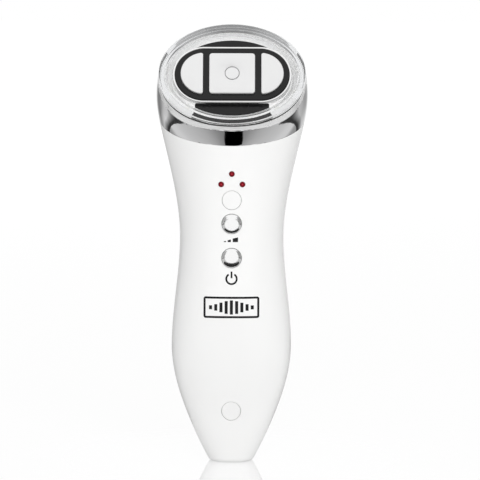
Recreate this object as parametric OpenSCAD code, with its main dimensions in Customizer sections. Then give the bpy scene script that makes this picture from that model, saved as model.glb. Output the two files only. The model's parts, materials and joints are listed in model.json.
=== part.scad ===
// Hand-held facial toning device with a tilted electrode head.
// Origin at the centre of the flat base, +Z up, electrodes and buttons towards -Y.
// The two handle shells meet in the plane Y = 0, and the loft below makes both.

/* [Handle] */
// Height of the handle's centre line, from the base to the collar seam
handle_h = 141; // [135:0.1:147]
// Width of the flat base
base_w = 17.6; // [16.6:0.1:20]
// Depth of the flat base
base_d = 16; // [15:0.1:20]
// Rounding of the base's edge
base_edge = 1.5; // [0.8:0.1:1.8]
// Height at which the grip stops flaring fast
toe_z = 22; // [20:0.5:26]
// Width of the grip there
toe_w = 37.8; // [35:0.2:41]
// Height of the widest part of the grip
belly_z = 48; // [44:0.5:54]
// Width of the grip at its widest
belly_w = 49; // [46:0.2:54]
// Depth of the grip at its widest, from the seam plane to the front
belly_front = 15.5; // [14.5:0.1:18]
// Depth of the grip at its widest, from the seam plane to the back
belly_back = 19; // [18:0.1:22]
// Distance of the waist below the collar seam
waist_drop = 48.5; // [44:0.1:53]
// Width of the waist
waist_w = 42.4; // [40:0.2:46]
// Depth of the waist, from the seam plane to the front
waist_front = 16.5; // [15.5:0.1:19]
// Depth of the waist, from the seam plane to the back
waist_back = 16.5; // [15.8:0.1:19]
// Width of the handle at the collar seam
seam_w = 59.5; // [57:0.1:60]
// Depth of the handle at the collar seam
seam_d = 46.6; // [44:0.2:47]
// Tilt of the collar seam from the horizontal
seam_lean = 24.7; // [20:0.1:26]
// Wall thickness of the shells
wall = 2; // [1.6:0.1:2.4]
// Thickness of the base's floor
floor_t = 2; // [1.6:0.1:2.6]

/* [Head] */
// Tilt of the treatment face from the horizontal
face_lean = 58; // [54:0.5:62]
// Distance of the face's centre in front of the seam plane
face_y = 13.8; // [12:0.1:15]
// Height of the face's centre above the collar seam
face_rise = 19.3; // [18:0.1:21]
// Width of the chrome collar under the light ring
collar_w = 60.6; // [59:0.2:63]
// Depth of the chrome collar under the light ring
collar_d = 46.4; // [45:0.2:48]
// Swell of the collar's sides between the seam and the light ring
collar_swell = 0.7; // [0.3:0.1:1]
// Swell of the collar's front
collar_crown = 0.2; // [0.1:0.05:0.4]
// Swell of the collar's corners, between its front, sides and back
collar_cheek = 0.5; // [0.2:0.1:0.7]
// Width of the collar's top edge
collar_lip = 2.5; // [2:0.1:3]
// Length of the collar's spigot inside the shells
spigot_h = 3; // [2:0.1:4]
// Thickness of the spigot
spigot_t = 1.5; // [1.2:0.1:1.8]
// Thickness of the collar's inner ledge
ledge_t = 1.2; // [1:0.1:1.6]
// Step from the collar's edge in to the clear light ring
ring_inset = 0.5; // [0.3:0.05:0.8]
// Depth of the clear light ring
ring_t = 4.3; // [4.1:0.1:5]
// Height of the light ring's outer edge above the collar
ring_edge_t = 3; // [2.8:0.1:3.4]
// Height of the collar's straight edge under the light ring
base_h = 3.5; // [3:0.1:3.8]
// Width of the ring's rim
rim_t = 2.7; // [2.2:0.1:3]
// Fall of the rim from its outer edge to its inner edge
rim_slope = 0.5; // [0.2:0.1:0.8]
// Width of the ring, from its outer wall to the black face insert
ring_band = 5.4; // [5:0.1:5.8]
// Depth of the electrode block's top below the rim
block_sunk = 1.1; // [0.6:0.1:1.5]
// Height of the electrode block above the insert's oval face
block_h = 2.8; // [2.4:0.1:3.2]
// Thickness of the insert's oval face
insert_t = 1.5; // [1.2:0.1:1.8]
// Thickness of the insert's walls
insert_wall = 0.9; // [0.8:0.05:1.1]
// Room beside the electrode block on the insert
block_side = 1.3; // [1.2:0.05:1.6]
// Room above and below the electrode block on the insert
block_end = 5.55; // [5.3:0.05:6]
// Width of the bright bezel round the block
bezel_t = 1; // [0.8:0.05:1.1]

/* [Electrodes] */
// Height that the electrodes stand out of the block
electrode_h = 1.1; // [0.8:0.1:1.6]
// Depth of the electrodes' seats in the block
seat_h = 1; // [0.8:0.1:1.2]
// Width of the block's edge above and below the square centre electrode
centre_margin = 2.45; // [2.2:0.05:2.8]
// Corner radius of the centre electrode
centre_r = 1.3; // [1:0.1:2]
// Width of the block's edge round the half-round side electrodes
side_margin = 2.2; // [2:0.05:2.8]
// Corner radius of the side electrodes
side_corner = 0.9; // [0.6:0.1:1.2]
// Gap between the centre electrode and a side electrode
electrode_gap = 2.45; // [2:0.05:3]
// Diameter of the ultrasonic probe in the middle
probe_dia = 5.6; // [5:0.1:8]
// Bevel round each electrode
electrode_bevel = 0.4; // [0.2:0.05:0.6]
// Diameter of the ultrasonic disc under the centre electrode
disc_dia = 16; // [12:0.2:16.5]
// Thickness of the ultrasonic disc
disc_t = 1.5; // [1:0.1:2]
// Diameter of the electrodes' contact pins
pin_dia = 1.6; // [1.2:0.1:2]

/* [Controls] */
// Distance of the power button's centre below the collar seam
power_drop = 55.7; // [54:0.1:59]
// Distance of the level button's centre below the collar seam
level_drop = 41.7; // [41.4:0.1:44]
// Distance of the mode indicator's centre below the collar seam
mode_drop = 32; // [31:0.1:32.2]
// Distance of the two lower level lamps below the collar seam
lamp_drop = 25.5; // [24.5:0.1:25.7]
// Rise of the middle lamp over the other two
lamp_rise = 4.3; // [3.5:0.1:4.5]
// Sideways spacing of the level lamps
lamp_pitch = 4.3; // [3.6:0.1:6]
// Height of the charge indicator's centre
charge_z = 22; // [21:0.1:23]
// Diameter of the two buttons
button_dia = 7.9; // [7.2:0.1:8.1]
// Height of a button's dome
button_dome = 1.1; // [0.8:0.1:1.6]
// Straight height of a button above the shell
button_rise = 0.3; // [0.1:0.1:0.5]
// Travel of a button
travel = 0.5; // [0.3:0.05:0.6]
// Diameter of the two indicator lenses
lens_dia = 7.7; // [7:0.1:7.9]
// Diameter of a level lamp
lamp_dia = 2.2; // [1.8:0.1:2.6]
// Width of the flange behind a button or lens
flange_w = 0.6; // [0.4:0.05:0.65]
// Thickness of that flange
flange_t = 0.8; // [0.6:0.1:1]

/* [Electronics] */
// Width of the main board
board_w = 26; // [24:0.2:27]
// Distance of the main board's upper edge below the collar seam
board_drop = 18.5; // [18.2:0.1:19]
// Length of the main board
board_l = 59.5; // [57:0.5:61.5]
// Thickness of the main board
board_t = 1.6; // [1.2:0.1:1.8]
// Depth of the board's front face in front of the seam plane
board_y = 8; // [7.8:0.1:8.3]
// Side of a tactile switch's body
switch_w = 6; // [5:0.1:6.5]
// Height of a tactile switch's body
switch_h = 3.5; // [3:0.1:3.6]
// Height of the plunger above its switch's body
plunger_h = 1.5; // [1.2:0.1:1.6]
// Diameter of the plunger
plunger_dia = 3.4; // [2.6:0.1:3.6]
// Diameter of the battery cell
cell_dia = 18.4; // [17.6:0.1:18.8]
// Gap between the battery cell and the vibration motor
cell_gap = 5; // [4.5:0.1:8]
// Lower end of the battery cell
cell_z = 27; // [26:0.5:29]
// Distance of the cell's axis behind the seam plane
cell_y = 4; // [3.9:0.1:4.2]
// Diameter of the vibration motor
motor_dia = 10; // [8:0.1:11]
// Length of the vibration motor
motor_h = 16; // [14:0.5:17]
// Distance of the vibration motor's lower end below the collar seam
motor_drop = 44; // [43:0.1:45]
// Distance of the motor's axis behind the seam plane
motor_y = 5.5; // [5:0.1:6]
// Diameter of the motor's shaft
shaft_dia = 1.5; // [1.2:0.1:2]
// Radius of the eccentric weight
weight_r = 4.5; // [3.5:0.1:4.8]
// Height of the eccentric weight
weight_h = 5; // [4:0.5:6]
// Width of the charging socket
socket_w = 9; // [8.6:0.1:9.4]
// Depth of the charging socket
socket_d = 3.2; // [3:0.1:3.4]
// Length of the charging socket
socket_h = 7.3; // [6.5:0.1:8]
// Upper edge of the charging board
charge_board_z1 = 24.5; // [24:0.1:25]

/* [Fasteners] */
// Distance of the lower shell screws from the middle
low_screw_x = 13; // [12.6:0.1:13.4]
// Height of the lower shell screws
low_screw_z = 30; // [29:0.5:32]
// Distance of the upper shell screws from the middle
high_screw_x = 12; // [11:0.1:13]
// Distance of the upper shell screws below the collar seam
high_screw_drop = 15; // [14.5:0.1:16]
// Diameter of the shell screws' shanks
screw_dia = 2.8; // [2.4:0.1:3]
// Diameter of the shell screws' heads
screw_head = 4.8; // [4.4:0.1:5]
// Radius of the front shell's screw bosses
boss_r = 2.8; // [2.5:0.1:3]
// Diameter of the small screws
small_screw = 1.8; // [1.4:0.1:2]
// Diameter of the small screws' heads
small_head = 3.2; // [2.8:0.1:3.4]

/* [Clearances] */
// Gap round fixed pieces that drop into each other
fit = 0.1; // [0.05:0.01:0.15]
// Radial gap round pieces that slide or turn
running = 0.08; // [0.04:0.01:0.1]

/* [Hidden] */
$fn = 64;
rows = 28;             // loft rows along the handle
cols = 24;             // loft columns round half of the handle
around = 64;           // points round the oval loops of the head
crowding = 1.2;        // above 1 brings the rows closer together near the base
collar_rows = 6;       // loft rows up the collar
wire_r = 0.6;
wire_sides = 8;
through = 60;          // longer than any wall that is cut right through
chamfer_fn = 32;
corner_steps = 5;

// Heights that follow the collar seam
waist_z = handle_h - waist_drop;
face_z = handle_h + face_rise;
power_z = handle_h - power_drop;
level_z = handle_h - level_drop;
mode_z = handle_h - mode_drop;
lamp_z = handle_h - lamp_drop;
board_z1 = handle_h - board_drop;
board_z0 = board_z1 - board_l;
motor_z = handle_h - motor_drop;
cell_h = motor_z - cell_gap - cell_z;
high_screw_z = handle_h - high_screw_drop;

// Shape of the grip: [height, value, rise per millimetre] at each station
half_width = [
  [0, base_w / 2, 0.55], [toe_z, toe_w / 2, 0.38], [belly_z, belly_w / 2, 0],
  [waist_z, waist_w / 2, 0], [handle_h, seam_w / 2, 0.2]];
front_depth = [
  [0, base_d / 2, 0.25], [belly_z, belly_front, 0.07], [waist_z, waist_front, 0.03],
  [handle_h, seam_d / 2, 0.25]];
back_depth = [
  [0, base_d / 2, 0.55], [belly_z, belly_back, 0], [waist_z, waist_back, 0],
  [handle_h, seam_d / 2, 0.25]];
lean = [[0, 0, 0], [waist_z, 0, 0], [handle_h, seam_lean, 0.9]];
squareness = [[0, 2.6, 0], [waist_z, 2.25, 0], [handle_h, 2, 0]];

// Value at height z of a smooth curve through the stations
function span(z, k, i = 0) = i >= len(k) - 2 || z < k[i + 1][0] ? i : span(z, k, i + 1);
function glide(z, k) =
  let (i = span(z, k), a = k[i], b = k[i + 1], l = b[0] - a[0], t = (z - a[0]) / l)
  a[1] * (1 + 2 * t) * pow(1 - t, 2) + a[2] * l * t * pow(1 - t, 2)
  + b[1] * t * t * (3 - 2 * t) + b[2] * l * t * t * (t - 1);
function power(v, n) = sign(v) * pow(abs(v), 2 / n);
function mix(a, b, s) = a + (b - a) * s;

// A point of the oval with half axes a and d, squareness n, on a plane leaning by tilt
function oval_point(t, a, d, n, tilt, cy, cz) =
  let (v = d * power(sin(t), n))
  [a * power(cos(t), n), cy + v * cos(tilt), cz + v * sin(tilt)];

// A point of the handle's skin, inset inwards; t runs over the back from 0 to 180
function skin(z, t, inset = 0) = oval_point(
  t, glide(z, half_width) - inset,
  (sin(t) < 0 ? glide(z, front_depth) : glide(z, back_depth)) - inset,
  glide(z, squareness), z > waist_z ? glide(z, lean) : 0, 0, z);

// Distance of the skin from the seam plane at x and z, on the front or on the back
function depth_at(x, z, k) =
  let (n = glide(z, squareness))
  glide(z, k) * pow(1 - pow(abs(x) / glide(z, half_width), n), 1 / n);
// Centre height of the leaning section whose front or back edge lies at height z
function section_at(z, side, n = 8) =
  n == 0 || z <= waist_z ? z
  : let (c = section_at(z, side, n - 1))
    z - side * glide(c, side < 0 ? front_depth : back_depth) * sin(max(0, glide(c, lean)));
function front_y(x, z) =
  let (c = section_at(z, -1), tilt = c > waist_z ? glide(c, lean) : 0)
  -depth_at(x, c, front_depth) * cos(tilt);

// Outlines of the head, each from the one outside it
ring_w = collar_w - 2 * ring_inset;
ring_d = collar_d - 2 * ring_inset;
insert_w = ring_w - 2 * ring_band;
insert_d = ring_d - 2 * ring_band;
block_w = insert_w - 2 * block_side;
block_d = insert_d - 2 * block_end;
centre_w = block_d - 2 * centre_margin;
side_r = block_d / 2 - side_margin;
end_x = (block_w - block_d) / 2;

// Loops in the plane of the treatment face, w outwards from the rim
face_n = [0, -sin(face_lean), cos(face_lean)];
face_c = [0, -face_y, face_z];
function face_loop(w, a, d) =
  let (c = face_c + w * face_n)
  [for (j = [0:around - 1]) oval_point(360 * j / around, a, d, 2, face_lean, c[1], c[2])];

// The seam's plane and the ring's plane meet in a line, on which the collar pivots
ring_base = face_c - (ring_edge_t + base_h) * face_n;
seam_slope = tan(seam_lean);
face_slope = tan(face_lean);
pivot_y = (handle_h - ring_base[2] + face_slope * ring_base[1]) / (face_slope - seam_slope);
pivot_z = handle_h + seam_slope * pivot_y;
seam_reach = -pivot_y / cos(seam_lean);
ring_reach = (ring_base[1] - pivot_y) / cos(face_lean);
collar_seat = wall + fit;              // inset of the spigot's outside
collar_inset = collar_seat + spigot_t; // inset of the spigot's inside
collar_bulge = 3;                      // how far the collar's inner back follows the outside
ledge_side = 4;         // reach of the ledge under the insert, at its sides
ledge_end = 5.1;        // and at its top and bottom
ledge_a = insert_w / 2 - ledge_side;
ledge_d = insert_d / 2 - ledge_end;

// Levels of the head below the rim
top_w = -block_sunk;
face_w = top_w - block_h;
skirt_w = -ring_edge_t - base_h - 2.4;
light_board_t = 1;
light_board_w = skirt_w + light_board_t;
block_wall = 1.6;
block_top_t = 2.2;
rim_round = 0.4;
ring_bore_a = insert_w / 2 + fit;
ring_bore_d = insert_d / 2 + fit;
head_boss_r = 1.7;
head_boss_x = 8;
head_boss_v = insert_d / 2 - insert_wall - head_boss_r + 0.3;
side_x = centre_w / 2 + electrode_gap;
pin_x = (side_x + end_x + side_r) / 2;
pin_reach = 4;
probe_seat = 0.8;       // metal left under the probe

// Depths of the front controls
seat_depth = 1.5;   // from the skin to the flat land behind the wall
land_r = 0.3;       // margin of that land round the flange
board_front = -board_y;
board_back = board_front + board_t;
plunger_y = board_front - switch_h - plunger_h;
plunger_in = 1;
lamps = [[-lamp_pitch, lamp_z], [0, lamp_z + lamp_rise], [lamp_pitch, lamp_z]];
charge_board_y = socket_d / 2;
charge_board_t = 1;
charge_led_y = charge_board_y - 1.2;
mode_led_y = board_front - 1;
indicator_w = 2;

low_screws = [for (s = [-1, 1]) [s * low_screw_x, low_screw_z]];
high_screws = [for (s = [-1, 1]) [s * high_screw_x, high_screw_z]];
shell_screw_at = concat(low_screws, high_screws);
screw_floor = 5;    // where the screws' heads seat, behind the seam plane
screw_wall = 1.2;    // wall round the screws' heads
screw_reach = 6.5;  // how far the screws enter the front bosses
board_post_r = 2.2;
board_posts = [for (x = [-1, 1], z = [board_z0 + 3.5, board_z1 - 3.5]) [x * (board_w / 2 - 2.6), z]];
rib_t = 1.6;
rib_side = 1.2;
cell_ribs = [for (s = [0.12, 0.5, 0.88]) cell_z + cell_h * s];
motor_ribs = [motor_z + 2.5, motor_z + motor_h - 2.5];
tab_heights = [for (s = [0.3, 0.45, 0.6, 0.72]) s * handle_h];
tab_w = 6;
tab_t = 1;
tab_gap = 0.2;

// ---- Lofts ----
function quad(a, b, c, d) = [[a, b, c], [a, c, d]];
function turned(faces, flip) = flip ? [for (f = faces) [f[2], f[1], f[0]]] : faces;

// Heights of the shell's loft rows, with the base's rounded edge first
levels = concat(
  [for (k = [0:2]) base_edge * (1 - cos(30 * k))],
  [for (i = [0:rows]) base_edge + (handle_h - base_edge) * pow(i / rows, crowding)]);
edge_share = 0.7;       // reach of that rounding inwards, as a share of its height
function edge_inset(z) =
  z < base_edge ? edge_share * base_edge * (1 - sqrt(1 - pow(1 - z / base_edge, 2))) : 0;

// Half of the handle filled to the middle of its wall, which bosses and ribs end in
module half_core(side) {
  m = rows / 2;
  n = cols / 2 + 1;
  faces = [
    for (i = [0:m - 1], j = [0:n - 2])
      each quad(i * n + j, i * n + j + 1, (i + 1) * n + j + 1, (i + 1) * n + j),
    for (i = [0:m - 1]) each quad(i * n, (i + 1) * n, (i + 1) * n + n - 1, i * n + n - 1),
    for (j = [1:n - 2]) [0, j + 1, j],
    for (j = [1:n - 2]) [m * n, m * n + j, m * n + j + 1]];
  polyhedron(
    points = [for (i = [0:m], j = [0:n - 1])
      skin(mix(floor_t / 2, handle_h - wall, i / m), side * 180 * j / (n - 1), wall / 2)],
    faces = turned(faces, side > 0), convexity = 4);
}

// Half of the hollow handle, cut in the seam plane: side -1 is the front, 1 the back
module half_shell(side) {
  outer = [for (z = levels, j = [0:cols]) skin(z, side * 180 * j / cols, edge_inset(z))];
  inner = [for (z = levels, j = [0:cols])
    skin(mix(floor_t, handle_h, z / handle_h), side * 180 * j / cols, wall)];
  n = cols + 1;
  last = len(levels) - 1;
  k = len(outer);
  faces = [
    for (i = [0:last - 1], j = [0:cols - 1])
      each quad(i * n + j, i * n + j + 1, (i + 1) * n + j + 1, (i + 1) * n + j),
    for (i = [0:last - 1], j = [0:cols - 1])
      each quad(k + (i + 1) * n + j, k + (i + 1) * n + j + 1, k + i * n + j + 1, k + i * n + j),
    for (i = [0:last - 1])
      each quad(i * n, (i + 1) * n, k + (i + 1) * n, k + i * n),
    for (i = [0:last - 1])
      each quad(k + i * n + cols, k + (i + 1) * n + cols, (i + 1) * n + cols, i * n + cols),
    for (j = [0:cols - 1])
      each quad(last * n + j, last * n + j + 1, k + last * n + j + 1, k + last * n + j),
    for (j = [1:cols - 1]) [0, j + 1, j],
    for (j = [1:cols - 1]) [k, k + j, k + j + 1],
    each quad(0, k, k + cols, cols)];
  polyhedron(points = concat(outer, inner), faces = turned(faces, side > 0), convexity = 6);
}

// A ring-shaped solid through closed loops; the last loop joins the first
module ring_skin(loops) {
  m = len(loops);
  n = len(loops[0]);
  polyhedron(
    points = [for (l = loops) each l],
    faces = [for (r = [0:m - 1], j = [0:n - 1]) each quad(
      r * n + j, ((r + 1) % m) * n + j, ((r + 1) % m) * n + (j + 1) % n, r * n + (j + 1) % n)],
    convexity = 6);
}

// A wire swept along a path that bends smoothly through its points
function bend(p, s) =
  let (i = min(floor(s), len(p) - 2), t = s - i,
       a = p[max(i - 1, 0)], b = p[i], c = p[i + 1], d = p[min(i + 2, len(p) - 1)])
  0.5 * (2 * b + (c - a) * t + (2 * a - 5 * b + 4 * c - d) * t * t
  + (3 * b - a - 3 * c + d) * t * t * t);
module wire(p, steps = 2) {
  last = (len(p) - 1) * steps;
  path = [for (i = [0:last]) bend(p, i / steps)];
  rings = [for (i = [0:last])
    let (t = path[min(i + 1, last)] - path[max(i - 1, 0)], w = t / norm(t),
         u = cross(w, [0.9, 0.1, 0.42]), a = u / norm(u), b = cross(w, a))
    [for (k = [0:wire_sides - 1])
      path[i] + wire_r * (a * cos(360 * k / wire_sides) + b * sin(360 * k / wire_sides))]];
  n = wire_sides;
  polyhedron(
    points = [for (r = rings) each r],
    faces = [
      for (i = [0:last - 1], k = [0:n - 1]) each quad(
        i * n + k, (i + 1) * n + k, (i + 1) * n + (k + 1) % n, i * n + (k + 1) % n),
      for (k = [1:n - 2]) [0, k, k + 1],
      for (k = [1:n - 2]) [last * n, last * n + k + 1, last * n + k]]);
}

// ---- Placing ----
// Local z points out of the treatment face, from the rim
module on_face(w = 0) { translate(face_c) rotate([face_lean, 0, 0]) translate([0, 0, w]) children(); }
// Local z points out of the handle's front, local y up, from depth y
module on_front(x, y, z) { translate([x, y, z]) rotate([90, 0, 0]) children(); }
module oval_2d(a, d) {
  polygon([for (j = [0:around - 1]) [a * cos(360 * j / around), d * sin(360 * j / around)]]);
}
// Oblong with round ends
module stadium_2d(w, d) {
  ends = around / 2;
  polygon([for (s = [0, 1], j = [0:ends])
    let (t = 180 * s + 180 * j / ends - 90)
    [(1 - 2 * s) * (w - d) / 2 + d / 2 * cos(t), d / 2 * sin(t)]]);
}

// ---- Shells ----
// Control hole through the front wall, with a flat land behind the wall
module control_hole(z, dia) {
  y = front_y(0, z);
  on_front(0, y + seat_depth, z) cylinder(d = dia, h = through);
  on_front(0, board_front - 0.5, z)
    cylinder(r = dia / 2 + flange_w + land_r, h = board_front - 0.5 - y - seat_depth);
}
module socket_hole() {
  translate([0, 0, -1]) linear_extrude(floor_t + 2)
    stadium_2d(socket_w + 2 * fit, socket_d + 2 * fit);
}
module front_shell() {
  color("white") difference() {
    union() {
      half_shell(-1);
      intersection() {
        half_core(-1);
        union() {
          for (p = shell_screw_at) on_front(p[0], 0, p[1]) cylinder(r = boss_r, h = through);
          for (p = board_posts)
            on_front(p[0], board_front, p[1]) cylinder(r = board_post_r, h = through);
        }
      }
    }
    for (p = shell_screw_at)
      on_front(p[0], 1, p[1]) cylinder(d = screw_dia + fit, h = screw_reach + 1.5);
    for (p = board_posts)
      on_front(p[0], board_front + 1, p[1]) cylinder(d = small_screw + fit, h = 4.5);
    control_hole(power_z, button_dia + 2 * running);
    control_hole(level_z, button_dia + 2 * running);
    control_hole(mode_z, lens_dia + fit);
    control_hole(charge_z, lens_dia + fit);
    for (p = lamps) on_front(p[0], board_front, p[1]) cylinder(d = lamp_dia + fit, h = through);
    socket_hole();
  }
}
// Rib that cradles a round body, from the back wall to just behind its axis
module cradle_rib(z, axis_y, r) {
  translate([0, 0, z - rib_t / 2]) linear_extrude(rib_t) difference() {
    translate([-r - rib_side, axis_y + 1]) square([2 * (r + rib_side), through]);
    translate([0, axis_y]) circle(r = r + fit);
  }
}
// Tab inside the rear shell's edge that locates the front shell
module edge_tab(z, side) {
  x = min(glide(z - tab_w / 2, half_width), glide(z + tab_w / 2, half_width)) - wall - tab_gap;
  translate([side > 0 ? x - tab_t : -x, -1.5, z - tab_w / 2]) cube([tab_t, 3.5, tab_w]);
  translate([side > 0 ? x - tab_t : -x - 0.8, 0.5, z - tab_w / 2]) cube([tab_t + 0.8, 1.5, tab_w]);
}
module rear_shell() {
  color("white") difference() {
    union() {
      half_shell(1);
      intersection() {
        half_core(1);
        union() {
          for (p = shell_screw_at)
            on_front(p[0], through, p[1]) cylinder(r = screw_head / 2 + screw_wall, h = through);
          for (z = cell_ribs) cradle_rib(z, cell_y, cell_dia / 2);
          for (z = motor_ribs) cradle_rib(z, motor_y, motor_dia / 2);
        }
      }
      for (z = tab_heights, side = [-1, 1]) edge_tab(z, side);
    }
    for (p = shell_screw_at) {
      on_front(p[0], screw_floor + 1, p[1]) cylinder(d = screw_dia + 0.4, h = screw_floor + 2);
      on_front(p[0], through / 2, p[1])
        cylinder(d = screw_head + 0.4, h = through / 2 - screw_floor);
    }
    socket_hole();
  }
}

// ---- Head ----
// Front (side -1) or back (side 1) of the collar's profile, [y, z], at share s of its height
function profile_point(s, side) =
  let (tilt = mix(seam_lean, face_lean, s),
       r = mix(seam_reach, ring_reach, s) + side * mix(seam_d, collar_d, sin(90 * s)) / 2)
  [pivot_y + r * cos(tilt), pivot_z + r * sin(tilt)];
// Section of the collar's outside: s is 0 at the seam and 1 under the light ring
function collar_loop(s) =
  let (back = profile_point(s, 1), hump = 4 * s * (1 - s),
       front = mix(profile_point(0, -1), profile_point(1, -1), s) - [hump * collar_crown, 0],
       mid = (front + back) / 2, along = back - front, d = norm(along) / 2,
       a = mix(seam_w, collar_w, s) / 2 + collar_swell * sin(180 * s))
  [for (j = [0:around - 1])
    let (t = 360 * j / around, grow = collar_cheek * hump * pow(sin(2 * t), 2))
    oval_point(t, a + grow, d + grow, squareness[2][1], atan2(along[1], along[0]), mid[0], mid[1])];
function handle_loop(z, inset) = [for (j = [0:around - 1]) skin(z, 360 * j / around, inset)];
// Section of the collar's inside between loops p and q; its back follows the outside
function inner_loop(p, q, s) =
  let (across = q[around / 4] - p[around / 4], out = [0, -across[2], across[1]] / norm(across))
  [for (j = [0:around - 1]) mix(p[j], q[j], s)
    + collar_bulge * sin(180 * s) * max(0, sin(360 * j / around)) * out];
lip_a = collar_w / 2 - collar_lip;
lip_d = collar_d / 2 - collar_lip;
module chrome_collar() {
  under_ledge = face_loop(skirt_w - ledge_t, lip_a, lip_d);
  at_seam = handle_loop(handle_h, collar_inset);
  spigot_z = handle_h - spigot_h;
  color("silver") difference() {
    ring_skin(concat(
      [for (i = [0:collar_rows]) collar_loop(i / collar_rows)],
      [face_loop(-ring_edge_t, ring_w / 2, ring_d / 2),
       face_loop(-ring_edge_t, lip_a, lip_d), face_loop(skirt_w, lip_a, lip_d),
       face_loop(skirt_w, ledge_a, ledge_d), face_loop(skirt_w - ledge_t, ledge_a, ledge_d)],
      [for (s = [0, 0.3, 0.65, 1]) inner_loop(under_ledge, at_seam, s)],
      [handle_loop(spigot_z, collar_inset), handle_loop(spigot_z, collar_seat),
       handle_loop(handle_h, collar_seat)]));
    for (x = [-1, 1], v = [-1, 1])
      on_face(skirt_w - ledge_t - 1) translate([x * head_boss_x, v * head_boss_v, 0])
        cylinder(d = small_screw + 0.3, h = ledge_t + 2);
    on_face(skirt_w - ledge_t - 1) translate([(lip_a + ledge_a) / 2, 0, 0])
      cylinder(r = 2 * wire_r, h = ledge_t + 2);
  }
}
module light_ring() {
  a = ring_w / 2;
  d = ring_d / 2;
  color("aliceblue", 0.5) ring_skin([
    face_loop(-ring_edge_t, a, d), face_loop(-rim_round * 2, a, d),
    face_loop(-rim_round / 2, a - rim_round / 2, d - rim_round / 2),
    face_loop(0, a - rim_round * 1.5, d - rim_round * 1.5),
    face_loop(-rim_slope, a - rim_t, d - rim_t),
    face_loop(-rim_slope - rim_round / 2, a - rim_t - rim_round / 2, d - rim_t - rim_round / 2),
    face_loop(face_w, ring_bore_a, ring_bore_d), face_loop(-ring_t, ring_bore_a, ring_bore_d),
    face_loop(-ring_t, lip_a - fit, lip_d - fit), face_loop(-ring_edge_t, lip_a - fit, lip_d - fit)]);
}
module face_insert() {
  depth = face_w - skirt_w;
  color([0.07, 0.07, 0.08]) on_face() difference() {
    union() {
      translate([0, 0, skirt_w]) linear_extrude(depth) oval_2d(insert_w / 2, insert_d / 2);
      translate([0, 0, face_w - insert_t]) linear_extrude(insert_t + block_h)
        stadium_2d(block_w, block_d);
    }
    difference() {
      translate([0, 0, skirt_w - 1]) linear_extrude(depth + 1 - insert_t)
        oval_2d(insert_w / 2 - insert_wall, insert_d / 2 - insert_wall);
      for (x = [-1, 1], v = [-1, 1])
        translate([x * head_boss_x, v * head_boss_v, skirt_w - 2]) cylinder(r = head_boss_r, h = depth + 2);
    }
    translate([0, 0, face_w - insert_t - 1])
      linear_extrude(insert_t + 1 + block_h - block_top_t)
      stadium_2d(block_w - 2 * block_wall, block_d - 2 * block_wall);
    for (x = [-1, 1], v = [-1, 1])
      translate([x * head_boss_x, v * head_boss_v, skirt_w - 1]) cylinder(d = small_screw + fit, h = 5);
    translate([0, 0, top_w - seat_h]) linear_extrude(seat_h + 1) {
      centre_2d(fit);
      for (s = [0, 1]) mirror([s, 0]) side_2d(fit);
    }
    translate([0, 0, top_w - block_top_t - 1])
      cylinder(d = disc_dia + 2 * fit, h = block_top_t + 1 - seat_h);
    for (x = [-1, 1]) translate([x * pin_x, 0, top_w - block_top_t - 1])
      cylinder(d = pin_dia + 2 * fit, h = block_top_t + 1);
  }
}
module electrode_bezel() {
  color("silver") on_face(face_w) linear_extrude(block_h - 0.1) difference() {
    stadium_2d(block_w + 2 * bezel_t + 2 * fit, block_d + 2 * bezel_t + 2 * fit);
    stadium_2d(block_w + 2 * fit, block_d + 2 * fit);
  }
}
// Outlines of the electrodes, grown by g
module centre_2d(g = 0) {
  square([centre_w + 2 * g, centre_w - 2 * centre_r], center = true);
  square([centre_w - 2 * centre_r, centre_w + 2 * g], center = true);
  for (x = [-1, 1], y = [-1, 1])
    translate([x, y] * (centre_w / 2 - centre_r)) circle(r = centre_r + g);
}
module side_2d(g = 0) {
  flat = side_x - end_x - g;
  big = side_r + g;
  rise = sqrt(pow(big - side_corner, 2) - pow(flat + side_corner, 2));
  turn = atan2(rise, flat + side_corner);
  corner = [for (k = [1:corner_steps]) let (t = mix(turn, 180, k / corner_steps))
    [flat + side_corner + side_corner * cos(t), rise + side_corner * sin(t)]];
  translate([end_x, 0]) polygon(concat(
    [for (k = [0:chamfer_fn]) let (t = mix(-turn, turn, k / chamfer_fn)) big * [cos(t), sin(t)]],
    corner, [for (k = [1:corner_steps]) let (p = corner[corner_steps - k]) [p[0], -p[1]]]));
}
// Plate with a bevelled top edge, from its seat to its full height
module electrode_plate() {
  h = seat_h + electrode_h;
  translate([0, 0, -seat_h]) linear_extrude(h - electrode_bevel) children();
  hull() {
    translate([0, 0, electrode_h - electrode_bevel - 0.01]) linear_extrude(0.01) children();
    translate([0, 0, electrode_h - 0.01]) linear_extrude(0.01)
      offset(delta = -electrode_bevel) children();
  }
}
module side_electrode(side) {
  color([0.88, 0.88, 0.88]) on_face(top_w) mirror([side < 0 ? 1 : 0, 0, 0]) union() {
    electrode_plate() side_2d();
    translate([pin_x, 0, -seat_h - pin_reach])
      cylinder(d = pin_dia, h = pin_reach + 0.5);
  }
}
module left_electrode() { side_electrode(-1); }
module right_electrode() { side_electrode(1); }
module centre_electrode() {
  color([0.88, 0.88, 0.88]) on_face(top_w) difference() {
    electrode_plate() centre_2d($fn = chamfer_fn);
    translate([0, 0, probe_seat - seat_h]) cylinder(d = probe_dia + 2 * fit, h = 5);
  }
}
module ultrasonic_probe() {
  color("gainsboro") on_face(top_w - seat_h + probe_seat)
    cylinder(d = probe_dia, h = seat_h + electrode_h - probe_seat);
}
module ultrasonic_disc() {
  color("tan") on_face(top_w - seat_h - disc_t) cylinder(d = disc_dia, h = disc_t);
}
light_a = [insert_w / 2 + 0.3, lip_a - 0.3];
light_d = [insert_d / 2 + 0.3, lip_d - 0.3];
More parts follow.
